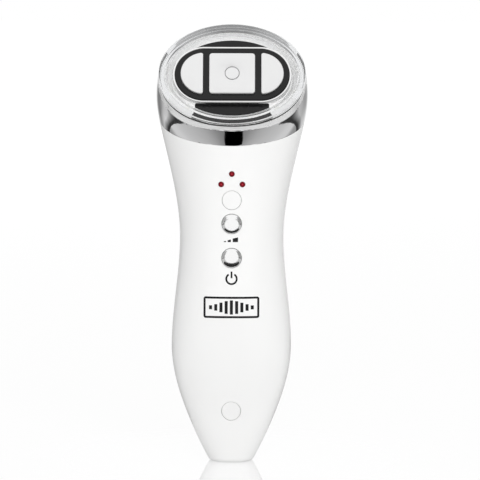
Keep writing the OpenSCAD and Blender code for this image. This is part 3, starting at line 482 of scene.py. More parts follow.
# ---- Head: half widths end in A, half depths in D, and levels run outwards from the face ----
FACE_TILT, SEAM_TILT = radians(58), radians(SEAM_LEAN)
FACE_C = Vector((0, -13.8, 160.3))
FACE_N = Vector((0, -sin(FACE_TILT), cos(FACE_TILT)))
FACE_U = Vector((0, cos(FACE_TILT), sin(FACE_TILT)))
COLLAR_A, COLLAR_D, LIP = 30.3, 23.2, 2.5
SWELL, CROWN, CHEEK = 0.7, 0.2, 0.5              # fullness of the collar: sides, front, corners
SPIGOT_OUT, SPIGOT_IN, SPIGOT_H = 2.1, 3.6, 3
RING_INSET, RING_BAND = 0.5, 5.4
RING_A, RING_D = COLLAR_A - RING_INSET, COLLAR_D - RING_INSET
RING_T, RING_EDGE, BASE_W = 4.3, 3.0, 6.5        # depth of the ring, of its edge, of the lip
RIM, RIM_SLOPE = 2.7, 0.5
INSERT_A, INSERT_D, SKIRT = RING_A - RING_BAND, RING_D - RING_BAND, 8.9
BLOCK_SUNK, BLOCK_H, BLOCK_SIDE, BLOCK_END, BEZEL = 1.1, 2.8, 1.3, 5.55, 1.0
SUNK = BLOCK_SUNK + BLOCK_H
BLOCK_W, BLOCK_D = 2 * (INSERT_A - BLOCK_SIDE), 2 * (INSERT_D - BLOCK_END)
LIP_A, LIP_D = COLLAR_A - LIP, COLLAR_D - LIP
LEDGE_SIDE, LEDGE_END, LEDGE_T = 4, 5.1, 1.2
LEDGE_A, LEDGE_D = INSERT_A - LEDGE_SIDE, INSERT_D - LEDGE_END
# Swell of the head's near side, in front and at the corners
RIM_SWELL, FOOT_SWELL, LIP_SWELL, NO_SWELL = (0.9, 0.5), (0.35, 0.65), (0.1, 1.5), (0.0, 0.0)


def on_face(x, v, w):
    """Point at x and v in the plane of the face, and w outwards from it."""
    p = FACE_C + v * FACE_U + w * FACE_N
    return (x, p.y, p.z)


def face_loop(w, a, d, swell=NO_SWELL):
    """Oval on the face. Its near half may swell, in front and at the two corners."""
    loop = []
    for t in turns(AROUND):
        grow = swell[0] * sin(t) ** 2 + swell[1] * sin(2 * t) ** 2 if sin(t) < 0 else 0.0
        loop.append(on_face((a + grow) * cos(t), (d + grow) * sin(t), w))
    return loop


def handle_loop(z, inset):
    return [skin(z, t, inset) for t in turns(AROUND)]


# The collar's sections turn about a pivot, from the plane of the seam to that of the ring
ring_base = FACE_C - BASE_W * FACE_N
pivot_y = (HANDLE_H - ring_base.z + tan(FACE_TILT) * ring_base.y) \
    / (tan(FACE_TILT) - tan(SEAM_TILT))
pivot_z = HANDLE_H + tan(SEAM_TILT) * pivot_y
seam_reach = -pivot_y / cos(SEAM_TILT)
ring_reach = (ring_base.y - pivot_y) / cos(FACE_TILT)


def profile_point(s, side):
    """Front (side -1) or back (side 1) of the collar's profile at share s of its height."""
    tilt = mix(SEAM_TILT, FACE_TILT, s)
    d = mix(SEAM_D, COLLAR_D, sin(pi / 2 * s))
    r = mix(seam_reach, ring_reach, s) + side * d
    return Vector((0, pivot_y + r * cos(tilt), pivot_z + r * sin(tilt)))


FRONT_LOW, FRONT_HIGH = profile_point(0, -1), profile_point(1, -1)


def collar_loop(s, inset=0.0):
    """Section of the collar at share s of its height, from its front point to its back point."""
    back = profile_point(s, 1)
    fore = FRONT_LOW.lerp(FRONT_HIGH, s) - Vector((0, 4 * s * (1 - s) * CROWN, 0))
    mid, along = (back + fore) / 2, back - fore
    a = mix(SEAM_A, COLLAR_A, s) + SWELL * sin(pi * s)
    tilt = atan2(along.z, along.y)
    loop = []
    for t in turns(AROUND):
        grow = CHEEK * 4 * s * (1 - s) * sin(2 * t) ** 2 - inset
        loop.append(oval_point(t, a + grow, along.length / 2 + grow, 2.0, tilt, mid.y, mid.z))
    return loop


COLLAR_ROWS, INNER_STEPS, INNER_BULGE = 30, 8, 3
COLLAR_SOFT = [(0, 0.14), (0.004, 0.04)]         # softened edge at the seam: share, inset
COLLAR_START, COLLAR_RUN = 0.012, 0.97           # shares of the height with plain rows
LIP_SECTION = [(0.1, 0.0, NO_SWELL), (0.2, 0.2, LIP_SWELL), (0.5, 0.32, LIP_SWELL)]  # rise, inset
FOOT_SECTION = [(0.12, 0.15), (0.03, 0.12), (0.0, 0.0)]    # below the ring's edge, outwards
collar_outside = [collar_loop(s, inset) for s, inset in COLLAR_SOFT] \
    + [collar_loop(COLLAR_START + COLLAR_RUN * i / COLLAR_ROWS) for i in range(COLLAR_ROWS + 1)] \
    + [collar_loop(1)] \
    + [face_loop(rise - BASE_W, COLLAR_A - inset, COLLAR_D - inset, swell)
       for rise, inset, swell in LIP_SECTION] \
    + [face_loop(-RING_EDGE - below, RING_A + grow, RING_D + grow, FOOT_SWELL)
       for below, grow in FOOT_SECTION]
channel = [face_loop(-RING_EDGE, LIP_A, LIP_D), face_loop(-SKIRT, LIP_A, LIP_D),
           face_loop(-SKIRT, LEDGE_A, LEDGE_D), face_loop(-SKIRT - LEDGE_T, LEDGE_A, LEDGE_D)]
under_ledge = face_loop(-SKIRT - LEDGE_T, LIP_A, LIP_D)
seam_inside = handle_loop(HANDLE_H, SPIGOT_IN)
spigot = [handle_loop(HANDLE_H - SPIGOT_H, SPIGOT_IN), handle_loop(HANDLE_H - SPIGOT_H, SPIGOT_OUT),
          handle_loop(HANDLE_H, SPIGOT_OUT)]
# The inside bulges backwards between the ledge and the spigot, as the outside does
back_run = Vector(seam_inside[AROUND // 4]) - Vector(under_ledge[AROUND // 4])
outwards = Vector((0, -back_run.z, back_run.y)).normalized()
inside = []
for i in range(INNER_STEPS + 1):
    s = i / INNER_STEPS
    inside.append([tuple(Vector(a).lerp(Vector(b), s)
                         + INNER_BULGE * sin(pi * s) * max(0.0, sin(t)) * outwards)
                   for t, a, b in zip(turns(AROUND), under_ledge, seam_inside)])
collar = piece("collar_skin", *loft(collar_outside + channel + inside + spigot, ring=True),
               "chrome_plating", stands_for=("chrome_collar",), crease=38.0)


def place_on_face(face):
    """Where a face of a mesh lies on the oval face: x, up the face and outwards from it."""
    place = Vector(face.center) / MM - FACE_C
    return place.x, place.dot(FACE_U), place.dot(FACE_N)


# White reflector in the channel of the light board, with its painted glow; satin lip below the
# clear ring
CHANNEL_REACH, LIP_REACH = 1.005, 1.05           # as shares of the channel's outline
CHANNEL_BELOW, LIP_RISE = 0.1, 0.35              # below the skirt's end, above the lip's foot
collar.data.materials.append(MATERIALS["light_board"])
collar.data.materials.append(SATIN_LIP)
for face in collar.data.polygons:
    x, up, out = place_on_face(face)
    reach = hypot(x / LIP_A, up / LIP_D)
    if reach < CHANNEL_REACH and out > -SKIRT - CHANNEL_BELOW:
        face.material_index = 1
    elif out > LIP_RISE - BASE_W and reach > LIP_REACH:
        face.material_index = 2


def rounded(level, radius, start, end, count=6):
    """Points (outwards, level) of a bend, with its angles in degrees."""
    bend = [radians(mix(start, end, k / count)) for k in range(count + 1)]
    return [(radius * cos(t), level + radius * sin(t)) for t in bend]


# Section of the clear ring: (distance inside the outer wall, level from the rim)
RIM_ROUND, BORE_GAP, LIP_GAP, UNDERCUT = 0.25, 0.1, 0.1, 0.7
RING_FOOT, HAIR = 0.03 - RING_EDGE, 0.02         # the foot is a hair above the chrome
FOOT_LINE = 1.3                                  # height of the painted shade line round the foot
STRIP_X, STRIP_IN, STRIP_OUT = 15.6, 20.0, 0.45  # half width of the painted shade strip and its two edges
LINE_UP, LINE_SHARE, FADE_UP = 10, 0.985, 2      # where the painted shade line ends, and where it fades
rim_run = RIM - 2 * RIM_ROUND
foot = [(0.1, RING_FOOT), (0.0, RING_FOOT + FOOT_LINE)]
rim = [(RIM_ROUND - x, w) for x, w in rounded(-RIM_ROUND, RIM_ROUND, 0, 90)]
rim += [(RIM_ROUND + s * rim_run, -s * RIM_SLOPE) for s in (0.04, 0.1, 0.5, 0.9, 0.96)]
rim += [(RIM + x - RIM_ROUND, w - RIM_SLOPE) for x, w in rounded(-RIM_ROUND, RIM_ROUND, 90, 40)]
rim_in, rim_level = rim[-1]
bore_a, bore_d = RING_A - INSERT_A - BORE_GAP, RING_D - INSERT_D - BORE_GAP
ring_loops = [face_loop(w, RING_A - i, RING_D - i, FOOT_SWELL) for i, w in foot]
ring_loops += [face_loop(w, RING_A - i, RING_D - i, RIM_SWELL) for i, w in rim]
ring_loops += [face_loop(mix(rim_level, -SUNK, s), RING_A - mix(rim_in, bore_a, s),
                         RING_D - mix(rim_in, bore_d, s)) for s in (0.03, 0.1, 0.5, 1)]
ring_loops += [face_loop(-RING_T, RING_A - bore_a, RING_D - bore_d),
               face_loop(-RING_T, LIP_A - UNDERCUT, LIP_D - UNDERCUT),
               face_loop(-RING_T, LIP_A - LIP_GAP, LIP_D - LIP_GAP),
               face_loop(RING_FOOT, LIP_A - LIP_GAP, LIP_D - LIP_GAP),
               face_loop(RING_FOOT, RING_A - STRIP_OUT, RING_D - STRIP_OUT)]
clear_ring = piece("light_ring_clear", *loft(ring_loops, ring=True), "clear_acrylic",
                   stands_for=("light_ring",), crease=24.0)
# Painted shade: dark strip under the near side of the ring, and dark line round the foot of its
# wall
clear_ring.data.materials.append(INK_AND_PAINTED_SHADE)
clear_ring.data.materials.append(PAINTED_SHADE_FADE)
for face in clear_ring.data.polygons:
    x, up, out = place_on_face(face)
    strip = (out < RING_FOOT + HAIR and abs(x) < STRIP_X and up < 0
             and hypot(x / (RING_A - RING_D + STRIP_IN), up / STRIP_IN) > 1
             and hypot(x / (RING_A - STRIP_OUT), up / (RING_D - STRIP_OUT)) < 1)
    line = (RING_FOOT + HAIR < out < RING_FOOT + FOOT_LINE and up < LINE_UP
            and hypot(x / RING_A, up / RING_D) > LINE_SHARE)
    if strip or line:
        face.material_index = 2 if up > FADE_UP else 1


def plate(outline, levels):
    """Solid through copies of an outline: levels are (inset, w), lowest first."""
    return loft([[on_face(x, v, w) for x, v in outline(i)] for i, w in levels])


def oval_outline(inset):
    return [((INSERT_A - inset) * cos(t), (INSERT_D - inset) * sin(t)) for t in turns(AROUND)]


def block_outline(inset):
    return stadium(BLOCK_W, BLOCK_D, inset)


def bevel(top, r, count=5):
    """Levels of a rounded top edge that ends at height top."""
    bend = [radians(90 * k / count) for k in range(count + 1)]
    return [(r * (1 - cos(t)), top - r * (1 - sin(t))) for t in bend]


OVAL_BEVEL, BLOCK_BEVEL, PLATE_BEVEL, PROBE_BEVEL = 0.2, 0.35, 0.4, 0.22
ROOTED = 0.3                                     # the block's root in the oval plate
DARK_X, WALL_SHARE, TRACE = 15.0, 0.95, 0.01     # the insert is black between its white ends
insert = piece("face_insert_block", *join(
    plate(oval_outline, [(0, -SKIRT)] + bevel(-SUNK, OVAL_BEVEL)),
    plate(block_outline, [(0, -SUNK - ROOTED)] + bevel(-BLOCK_SUNK, BLOCK_BEVEL))),
    "black_insert", stands_for=("face_insert",))
# Edges where the black ends
bm = bmesh.new()
bm.from_mesh(insert.data)
for s in (-1, 1):
    bmesh.ops.bisect_plane(bm, geom=bm.verts[:] + bm.edges[:] + bm.faces[:],
                           plane_co=(s * DARK_X * MM, 0, 0), plane_no=(1, 0, 0))
bm.to_mesh(insert.data)
bm.free()
# The white ends and wall take the light board's finish, with its painted glow
insert.data.materials.append(MATERIALS["light_board"])
for face in insert.data.polygons:
    x, up, out = place_on_face(face)
    wall = out < -SUNK - ROOTED and hypot(x / INSERT_A, up / INSERT_D) > WALL_SHARE
    if wall or abs(x) > DARK_X and out < -SUNK + TRACE:
        face.material_index = 1

BEZEL_TOP, BEZEL_GAP = -BLOCK_SUNK - 0.1, 0.1
BEZEL_IN = [(-0.3, BEZEL_TOP), (-0.1, BEZEL_TOP - 0.1), (0, BEZEL_TOP - 0.25), (0, -SUNK)]
BEZEL_OUT = [(0, -SUNK), (0, BEZEL_TOP - 0.35), (0.1, BEZEL_TOP - 0.12), (0.3, BEZEL_TOP)]
bezel_in = [[on_face(x, v, w) for x, v in block_outline(i - BEZEL_GAP)] for i, w in BEZEL_IN]
bezel_out = [[on_face(x, v, w) for x, v in block_outline(i - BEZEL - BEZEL_GAP)]
             for i, w in BEZEL_OUT]
piece("bezel_band", *loft(bezel_out + bezel_in, ring=True), "bright_bezel",
      stands_for=("electrode_bezel",), crease=50.0)

# Plates: their top above the block, their seat below it, and the probe's rise from that seat
PROUD, SEAT_DEPTH, PROBE_SEAT = 1.1, 1, 0.8
ELECTRODE_TOP, SEAT = PROUD - BLOCK_SUNK, -BLOCK_SUNK - SEAT_DEPTH
CENTRE_INSET, SIDE_INSET, GAP = 4.9, 2.2, 2.45   # margins in the block, and gap between plates
CENTRE_W, CENTRE_R, PROBE_R, SIDE_CORNER = BLOCK_D - CENTRE_INSET, 1.3, 2.8, 0.9
SIDE_R, SIDE_X = BLOCK_D / 2 - SIDE_INSET, CENTRE_W / 2 + GAP
END_X = (BLOCK_W - BLOCK_D) / 2
CORNER_STEPS = 8
# The centre electrode's hole for the probe: (distance outside the probe, level from the top)
PROBE_HOLE = [(0.32, 0.0), (0.2, 0.07), (0.1, 0.25)]


def d_outline(inset, s=1):
    """Half-round plate with softened corners; s mirrors it."""
    flat, big, small = SIDE_X - END_X + inset, SIDE_R - inset, SIDE_CORNER - inset
    y = sqrt((big - small) ** 2 - (flat + small) ** 2)
    turn = atan2(y, flat + small)
    steps = AROUND // 2
    shares = [k / CORNER_STEPS for k in range(CORNER_STEPS + 1)]
    points = [(big * cos(mix(-turn, turn, k / steps)), big * sin(mix(-turn, turn, k / steps)))
              for k in range(steps + 1)]
    points += [(flat + small + small * cos(mix(turn, pi, k)), y + small * sin(mix(turn, pi, k)))
               for k in shares[1:]]
    points += [(flat, mix(y, -y, k)) for k in shares[1:-1]]
    points += [(flat + small + small * cos(mix(pi, 2 * pi - turn, k)),
                -y + small * sin(mix(pi, 2 * pi - turn, k))) for k in shares[:-1]]
    return [(s * (END_X + x), v) for x, v in points]


def square_outline(inset):
    """Rounded square, one point for each direction round the middle."""
    half, r = CENTRE_W / 2 - inset, CENTRE_R - inset
    points = []
    for t in turns(AROUND):
        c, s = cos(t), sin(t)
        far = half / max(abs(c), abs(s))
        if min(abs(c), abs(s)) * far > half - r:
            k = half - r
            along = k * (abs(c) + abs(s))
            far = along + sqrt(along * along - 2 * k * k + r * r)
        points.append((far * c, far * s))
    return points


def round_outline(radius):
    return circle((0, 0), radius, AROUND)


plate_levels = [(0, SEAT)] + bevel(ELECTRODE_TOP, PLATE_BEVEL)
for side, word in ((-1, "left"), (1, "right")):
    piece(word + "_electrode_plate", *plate(lambda i: d_outline(i, side), plate_levels),
          "electrode_metal", stands_for=(word + "_electrode",))
hole = [(PROBE_R + grow, ELECTRODE_TOP - below) for grow, below in PROBE_HOLE]
hole.append((hole[-1][0], SEAT))
centre_loops = [[on_face(x, v, w) for x, v in square_outline(i)] for i, w in plate_levels]
centre_loops += [[on_face(x, v, w) for x, v in round_outline(r)] for r, w in hole]
piece("centre_electrode_plate", *loft(centre_loops, ring=True), "electrode_metal",
      stands_for=("centre_electrode",))
piece("probe_disc", *plate(lambda i: round_outline(PROBE_R - i),
                           [(0, SEAT + PROBE_SEAT)] + bevel(ELECTRODE_TOP, PROBE_BEVEL)),
      "electrode_metal", stands_for=("ultrasonic_probe",))


# ---- Controls ----
def dome(spot, profile, sides=96, hugs_skin=False):
    """Turned solid along Y: profile is (radius, height above the skin), rim first."""
    base = front_y(*spot)
    return loft([[(x, (front_y(x, z) if hugs_skin else base) - h, z)
                  for x, z in circle(spot, r, sides)] for r, h in profile])


DOME_H, RISE, CAP_EDGE, RIM_DROP = 1.1, 0.3, 0.15, 0.1
BURIED, DISC_ROUND = 1.4, 0.12                   # depth below the skin, softened edge of a lens
DOME_ROWS, DISC_ROWS = 17, 12
dome_r = (BUTTON_R ** 2 + DOME_H ** 2) / (2 * DOME_H)
for name, c in buttons.items():
    cap = [(BUTTON_R, -BURIED), (BUTTON_R, RISE - CAP_EDGE)]
    for k in range(1, DOME_ROWS):
        r = BUTTON_R * cos(pi / 2 * k / DOME_ROWS)
        cap.append((r, RISE + sqrt(dome_r ** 2 - r * r) - (dome_r - DOME_H)
                    - RIM_DROP * (r / BUTTON_R) ** 12))
    piece(name + "_cap", *dome((0, c[2]), cap), "chrome_button", body=name, stands_for=(name,),
          crease=50.0)

for name, c in lenses.items():
    disc = [(LENS_R, -BURIED), (LENS_R, -0.1), (LENS_R - 0.04, -0.03), (LENS_R - DISC_ROUND, 0.0)]
    disc += [(LENS_R * (1 - k / DISC_ROWS) - DISC_ROUND, 0.0) for k in range(1, DISC_ROWS)]
    piece(name + "_disc", *dome((0, c[2]), disc, hugs_skin=True), "white_lens",
          stands_for=(name,))

LAMP_H, CORE_R, CORE_DEPTH = 0.35, 0.33, 0.5
lamp_profile = [(LAMP_R, -BURIED), (LAMP_R, -0.02), (LAMP_R - 0.05, 0.05)]
lamp_profile += [(r, LAMP_H * (1 - (r / LAMP_R) ** 2)) for r in (0.95, 0.8, 0.62, 0.45, 0.3, 0.15)]
lamp_piece = piece("level_lamp_domes", *join(*[dome(p, lamp_profile, FINE_SIDES) for p in lamps]),
                   "red_lamp", stands_for=("level_lamps",))
lamp_piece.data.materials.append(LAMP_CORE)
lamp_front = front_y(0, lamps[0][1]) + CORE_DEPTH
for face in lamp_piece.data.polygons:
    fx, fy, fz = face.center / MM
    if fy < lamp_front and any(hypot(fx - x, fz - z) < CORE_R for x, z in lamps):
        face.material_index = 1


# ---- Printed signs: thin films on the skin ----
INK = 0.03


def film(strips):
    """Closed films between matching point rows, given in x and z."""
    solids = []
    for rows in strips:
        m, n = len(rows), len(rows[0])
        verts = [(x, front_y(x, z) - h, z) for h in (INK, -INK) for row in rows for x, z in row]
        k = m * n
        faces = [(i * n + j, i * n + j + 1, (i + 1) * n + j + 1, (i + 1) * n + j)
                 for i in range(m - 1) for j in range(n - 1)]
        faces += [tuple(k + v for v in reversed(f)) for f in list(faces)]
        edge = list(range(n)) + [i * n + n - 1 for i in range(1, m)] \
            + [(m - 1) * n + j for j in reversed(range(n - 1))] \
            + [i * n for i in reversed(range(1, m - 1))]
        faces += [(a, b, k + b, k + a) for a, b in zip(edge, edge[1:] + edge[:1])]
        solids.append((verts, faces))
    return join(*solids)


def sign(name, strips):
    piece(name, *film(strips), "black_insert", material=INK_AND_PAINTED_SHADE)


def bar(x0, x1, low, high0, high1, count=6):
    """Upright bar with a level foot and a sloping top."""
    xs = [mix(x0, x1, j / count) for j in range(count + 1)]
    return [[(x, mix(low, mix(high0, high1, j / count), s)) for j, x in enumerate(xs)]
            for s in (0, 0.5, 1)]


def arc(cx, cz, r_in, r_out, start, end, count=48):
    """Part of a ring, with its angles in degrees."""
    bend = [radians(mix(start, end, k / count)) for k in range(count + 1)]
    return [[(cx + r * cos(t), cz + r * sin(t)) for t in bend] for r in (r_in, r_out)]


def frame_outline(w, h, r, inset, bend=8, straight=12):
    """Rounded rectangle, closed by repeating its first point."""
    points = []
    for k, (sx, sz) in enumerate([(1, 1), (-1, 1), (-1, -1), (1, -1)]):
        for j in range(bend + 1):
            t = radians(90 * k + 90 * j / bend)
            points.append((sx * (w / 2 - r) + (r - inset) * cos(t),
                           sz * (h / 2 - r) + (r - inset) * sin(t)))
        ex, ez = [(-1, 0), (0, -1), (1, 0), (0, 1)][k]
        length = (w if ex else h) - 2 * r
        x, z = points[-1]
        points += [(x + ex * length * j / straight, z + ez * length * j / straight)
                   for j in range(1, straight)]
    return points + points[:1]


# Rising bars between the two buttons: (left, right, height at the left, height at the right)
LEVEL_BARS = [(-3.1, -2.3, 0.35, 0.45), (-1.6, -0.3, 0.75, 1.05), (0.45, 2.6, 1.45, 1.95)]
BARS_DROP = 0.45                                 # of their foot, from midway between the buttons
bars_z = (buttons["level_button"][2] + buttons["power_button"][2]) / 2 - BARS_DROP
sign("level_sign", [bar(left, right, bars_z, bars_z + low, bars_z + high)
                    for left, right, low, high in LEVEL_BARS])

# Power sign below its button: an open ring and a stroke
POWER_DROP, POWER_IN, POWER_OUT = 8.5, 1.75, 2.5
OPEN_END, OPEN_START = 122, 418                  # degrees, with the opening on top
STROKE_W, STROKE_LOW, STROKE_HIGH = 0.36, 0.3, 3.0
power_z = buttons["power_button"][2] - POWER_DROP
sign("power_sign", [arc(0, power_z, POWER_IN, POWER_OUT, OPEN_END, OPEN_START),
                    bar(-STROKE_W, STROKE_W, power_z + STROKE_LOW,
                        power_z + STROKE_HIGH, power_z + STROKE_HIGH)])

# Frame with a row of pulse bars
PANEL_Z, PANEL_W, PANEL_H, PANEL_ROUND, PANEL_LINE = 65.1, 22.7, 8.8, 0.9, 0.85
PULSE = [0.28, 0.46, 0.68, 0.9, 1.0, 0.9, 0.68, 0.46, 0.28]
PULSE_MARGIN, PULSE_H, PULSE_W = 3.6, 2.9, 0.62  # PULSE_H and PULSE_W are half sizes
pitch = (PANEL_W - PULSE_MARGIN) / len(PULSE)
panel = [[(x, PANEL_Z + z) for x, z in frame_outline(PANEL_W, PANEL_H, PANEL_ROUND, inset)]
         for inset in (0, PANEL_LINE)]
marks = []
for k, share in enumerate(PULSE):
    x, half = (k - len(PULSE) // 2) * pitch, PULSE_H * share
    marks.append(bar(x - PULSE_W, x + PULSE_W, PANEL_Z - half, PANEL_Z + half, PANEL_Z + half))
sign("panel_sign", [panel] + marks)

# ---- Stage: floor, cards that only gloss sees, lamps, camera. Metres and degrees ----
FLOOR_HALF = 4
FLOOR_WHITE, FLOOR_GLOSS = 1.03, 0.78    # the floor's glow to the camera and to gloss
FAR_WHITE, FAR_START, FAR_END = 1.08, 1.2, 1.7   # its glow behind the lamps, whose light it lacks
GLOW_SHARE = 0.86                        # the rest is lit, and so shows the shadow
POLISH_END, POLISH_FADE = 0.06, 0.09     # polished only near the object, so it mirrors no cards
LIFT = 0.3                               # least level of a card seen through the clear ring


def stage_mesh(name, verts, faces, mat):
    mesh = bpy.data.meshes.new(name)
    mesh.from_pydata(verts, [], faces)
    mesh.materials.append(mat)
    ob = add_object(name, mesh)
    return ob


def floor_material():
    """White polished floor: shows as white, with the object's shadow and a soft mirror image."""
    mat, n = new_material("studio_floor")
    place = n.add("ShaderNodeTexCoord").outputs["Object"]
    away = n.add("ShaderNodeVectorMath", {0: place}, operation="LENGTH").outputs["Value"]
    lit = n.add("ShaderNodeBsdfDiffuse", {"Color": (0.9, 0.9, 0.9, 1)}).outputs[0]
    gloss_ray = n.add("ShaderNodeLightPath").outputs["Is Glossy Ray"]
    level = n.span(away, FLOOR_WHITE, FAR_WHITE, FAR_START, FAR_END)
    glow = n.add("ShaderNodeEmission", {
        "Color": WHITE, "Strength": n.span(gloss_ray, level, FLOOR_GLOSS, 0, 1)}).outputs[0]
    base = n.mixed(n.maths("MULTIPLY", n.seen(), GLOW_SHARE), lit, glow)
    gloss = n.add("ShaderNodeBsdfGlossy", {"Color": WHITE, "Roughness": 0.02}).outputs[0]
    edge = n.maths("MULTIPLY", n.add("ShaderNodeFresnel", {"IOR": 1.4}).outputs[0],
                   n.span(away, 1.0, 0.0, POLISH_END, POLISH_FADE))
    n.add("ShaderNodeOutputMaterial", {"Surface": n.mixed(edge, base, gloss)})
    return mat


stage_mesh("floor", [(x * FLOOR_HALF, y * FLOOR_HALF, 0)
                     for x, y in ((-1, -1), (1, -1), (1, 1), (-1, 1))],
           [(0, 1, 2, 3)], floor_material())


def card(name, verts, faces, level, one_sided=False, reach=None):
    """A grey card that only gloss and the clear ring see; level is one value or one per point.
    It shows to what stands within reach, so that the floor doesn't mirror it."""
    mat, n = new_material(name)
    grey = n.add("ShaderNodeAttribute", attribute_name="level").outputs["Fac"]
    through = n.add("ShaderNodeLightPath").outputs["Is Transmission Ray"]
    grey = n.maths("MAXIMUM", grey, n.maths("MULTIPLY", through, LIFT))
    out = n.add("ShaderNodeEmission", {"Color": WHITE, "Strength": grey}).outputs[0]
    hidden = n.add("ShaderNodeNewGeometry").outputs["Backfacing"] if one_sided else None
    if reach:
        length = n.add("ShaderNodeLightPath").outputs["Ray Length"]
        hidden = n.maths("SUBTRACT", n.maths("GREATER_THAN", length, reach), through)
    if hidden:
        out = n.mixed(hidden, out, n.add("ShaderNodeBsdfTransparent").outputs[0])
    n.add("ShaderNodeOutputMaterial", {"Surface": out})
    ob = stage_mesh(name, verts, faces, mat)
    levels = level if isinstance(level, list) else [level] * len(verts)
    ob.data.attributes.new("level", "FLOAT", "POINT").data.foreach_set("value", levels)
    ob.visible_camera = ob.visible_diffuse = ob.visible_shadow = False


def between(points, place):
    """Value at a place on a line through points (place, value)."""
    for (a, low), (b, high) in zip(points, points[1:]):
        if place <= b:
            return mix(low, high, max(0.0, (place - a) / (b - a)))
    return points[-1][1]


CARD_STEP = 3                            # degrees between the columns of a round card


def curtain(name, start, end, rows, one_sided=False, reach=None):
    """Round card. A row gives a place (radius, height) and a level for the angle from the front."""
    count = int(abs(end - start) / CARD_STEP)
    angles = [mix(start, end, k / count) for k in range(count + 1)]
    verts, levels = [], []
    for place, level in rows:
        for a in angles:
            radius, height = place(abs(a))
            verts.append((radius * sin(radians(a)), -radius * cos(radians(a)), height))
            levels.append(level(abs(a)))
    m = count + 1
    faces = [(i * m + k, i * m + k + 1, (i + 1) * m + k + 1, (i + 1) * m + k)
             for i in range(len(rows) - 1) for k in range(count)]
    card(name, verts, faces, levels, one_sided, reach)


def at(radius, height):
    """Place on a round card that is the same at each angle."""
    return lambda angle: (radius, height)


# Levels in front and round the sides: (angle from the front, level)
FRONT_LEVELS = [(3, 0.19), (8.5, 0.27), (13.5, 0.37), (18.5, 0.44), (24, 0.48), (34, 0.53),
                (60, 0.6), (80, 0.68), (98, 0.68), (112, 0.35), (125, 0.3)]
FRONT_R, FRONT_LOW_Z, FRONT_HIGH_Z, REACH = 0.31, 0.112, 0.32, 0.325
NEAR_R, FAR_R, LYING_Z = 0.05, 2.0, 0.001


def front_level(angle):
    return between(FRONT_LEVELS, angle)


curtain("card_floor", -165, 165, [(at(FAR_R, LYING_Z), front_level),
                                  (at(NEAR_R, LYING_Z), front_level)], one_sided=True)
curtain("card_front", -60, 60, [(at(FRONT_R, FRONT_LOW_Z), front_level),
                                (at(FRONT_R, FRONT_HIGH_Z), front_level)], reach=REACH)

# Side cards like half a bowl, with a slanting foot: dark along the foot, light above it. They
# lie on the floor where the collar sees them below the horizon, and stand upright above it
BOWL_R, BOWL_TOP, CARD_Z, HORIZON = 0.2, 0.26, 0.002, -4.0
HEAD_Z, HEAD_R, DARK = 0.141, 0.02, 0.04
FOOT = [(38, -4.0), (54, -11.5), (70, -17.0), (90, -22.5), (110, -25.5), (165, -25.5)]


def side_card(name, side, tilt, body, upper):
    """Card from 38 to 165 degrees; tilt slants its foot, and body and upper are its levels."""
    def row(rise, level):
        def place(a):
            low = between(FOOT, a) + tilt * min(1.0, (a - 50) / 60) + rise
            if low < HORIZON:
                return HEAD_R + (HEAD_Z - CARD_Z) / tan(radians(-low)), CARD_Z
            return BOWL_R, HEAD_Z + (BOWL_R - HEAD_R) * tan(radians(low))
        return place, level

    def dark(a):
        return DARK

    def light(a):
        return between(body, a)

    def fading(a):
        return mix(DARK, light(a), 0.3)

    def high(a):
        return between(upper, a)

    ends = (165, 38) if side > 0 else (-38, -165)
    curtain(name, *ends, [row(0, dark), row(2.5, dark), row(5, fading), row(9, light),
                          row(16, high), row(22, high), (at(BOWL_R, BOWL_TOP), light)],
            one_sided=True)


side_card("card_left", -1, -1.5,
          [(38, 0.4), (80, 0.55), (115, 0.72), (130, 0.62), (145, 0.42), (165, 0.5)],
          [(38, 0.4), (110, 0.45), (130, 0.26), (145, 0.2), (165, 0.6)])
side_card("card_right", 1, 1.5,
          [(38, 0.3), (80, 0.45), (100, 0.55), (130, 0.5), (145, 0.65), (165, 0.8)],
          [(38, 0.3), (110, 0.42), (130, 0.34), (145, 0.4), (165, 0.9)])

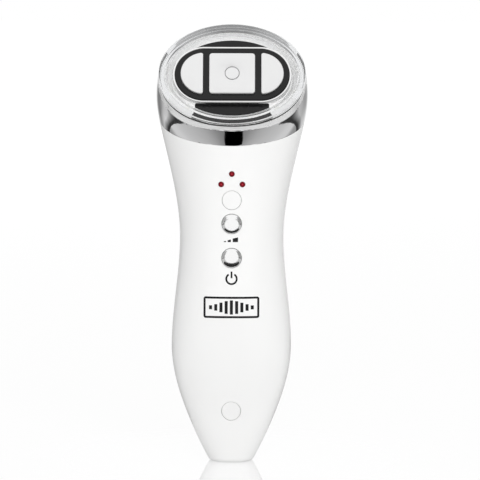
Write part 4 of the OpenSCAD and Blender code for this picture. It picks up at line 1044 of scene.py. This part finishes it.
# Black card for the dark square in the collar, white one for the buttons, dark one below them
LENS_Y, LENS_LOW_Z, LENS_HIGH_Z = -0.29, 0.088, 0.25
card("card_lens", [(-0.0378, LENS_Y, LENS_LOW_Z), (0.0532, LENS_Y, LENS_LOW_Z),
                   (0.0246, LENS_Y, LENS_HIGH_Z), (-0.0174, LENS_Y, LENS_HIGH_Z)],
     [(0, 1, 2, 3)], 0.0, reach=REACH)
CARD_SIDES, CARD_A, CARD_H, CARD_Y, CARD_MID = 48, 0.042, 0.034, -0.056, 0.089
card("card_buttons", [(CARD_A * cos(-t), CARD_Y, CARD_MID + CARD_H * sin(-t))
                      for t in turns(CARD_SIDES)], [range(CARD_SIDES)], 1.0, one_sided=True)
card("card_low", [(-0.15, -0.13, CARD_Z), (0.15, -0.13, CARD_Z), (0.1, -0.04, CARD_Z),
                  (-0.1, -0.04, CARD_Z)], [(0, 1, 2, 3)], 0.02, one_sided=True)

SOFT_LIGHT, WHITE_LIGHT = 0.62, 1.0      # the world as a light, and as it is seen
world = bpy.data.worlds.new("studio")
bpy.context.scene.world = world
world.use_nodes = True
sky = Nodes(world.node_tree)
soft, white = (sky.add("ShaderNodeBackground", {"Color": WHITE, "Strength": level}).outputs[0]
               for level in (SOFT_LIGHT, WHITE_LIGHT))
sky.add("ShaderNodeOutputWorld", {"Surface": sky.mixed(sky.seen(), soft, white)})

LAMP_AIM, LAMP_SIZE = Vector((0, 0, 0.09)), 1.3


def softbox(name, place, watts):
    data = bpy.data.lights.new(name, "AREA")
    data.shape = "RECTANGLE"
    data.size = data.size_y = LAMP_SIZE
    data.energy = watts
    ob = add_object(name, data)
    ob.location = place
    ob.rotation_euler = (LAMP_AIM - Vector(place)).to_track_quat("-Z", "Y").to_euler()
    ob.visible_camera = ob.visible_glossy = ob.visible_transmission = False


softbox("key", (0.28, -1.7, 0.7), 15.6)
softbox("fill", (-0.2, 1.7, 0.7), 7.0)

LOOK, ROLL = radians(6), radians(0.2)    # the camera's height as an angle, and its roll
DISTANCE, SENSOR_MM = 1.5, 36.0
VIEW_MM = 196.8                          # height of the picture at the object
aim = Vector((0.0034, 0.0, 0.0910))
camera = bpy.data.cameras.new("camera")
camera.sensor_width = SENSOR_MM
camera.lens = SENSOR_MM * DISTANCE / (VIEW_MM * MM)
camera.clip_start, camera.clip_end = 0.05, 20.0
eye = add_object("camera", camera)
eye.location = aim + DISTANCE * Vector((0, -cos(LOOK), sin(LOOK)))
eye.rotation_euler = (Matrix.Rotation(pi / 2 - LOOK, 3, "X")
                      @ Matrix.Rotation(ROLL, 3, "Z")).to_euler()
bpy.context.scene.camera = eye
bpy.context.scene.view_settings.view_transform = "Standard"
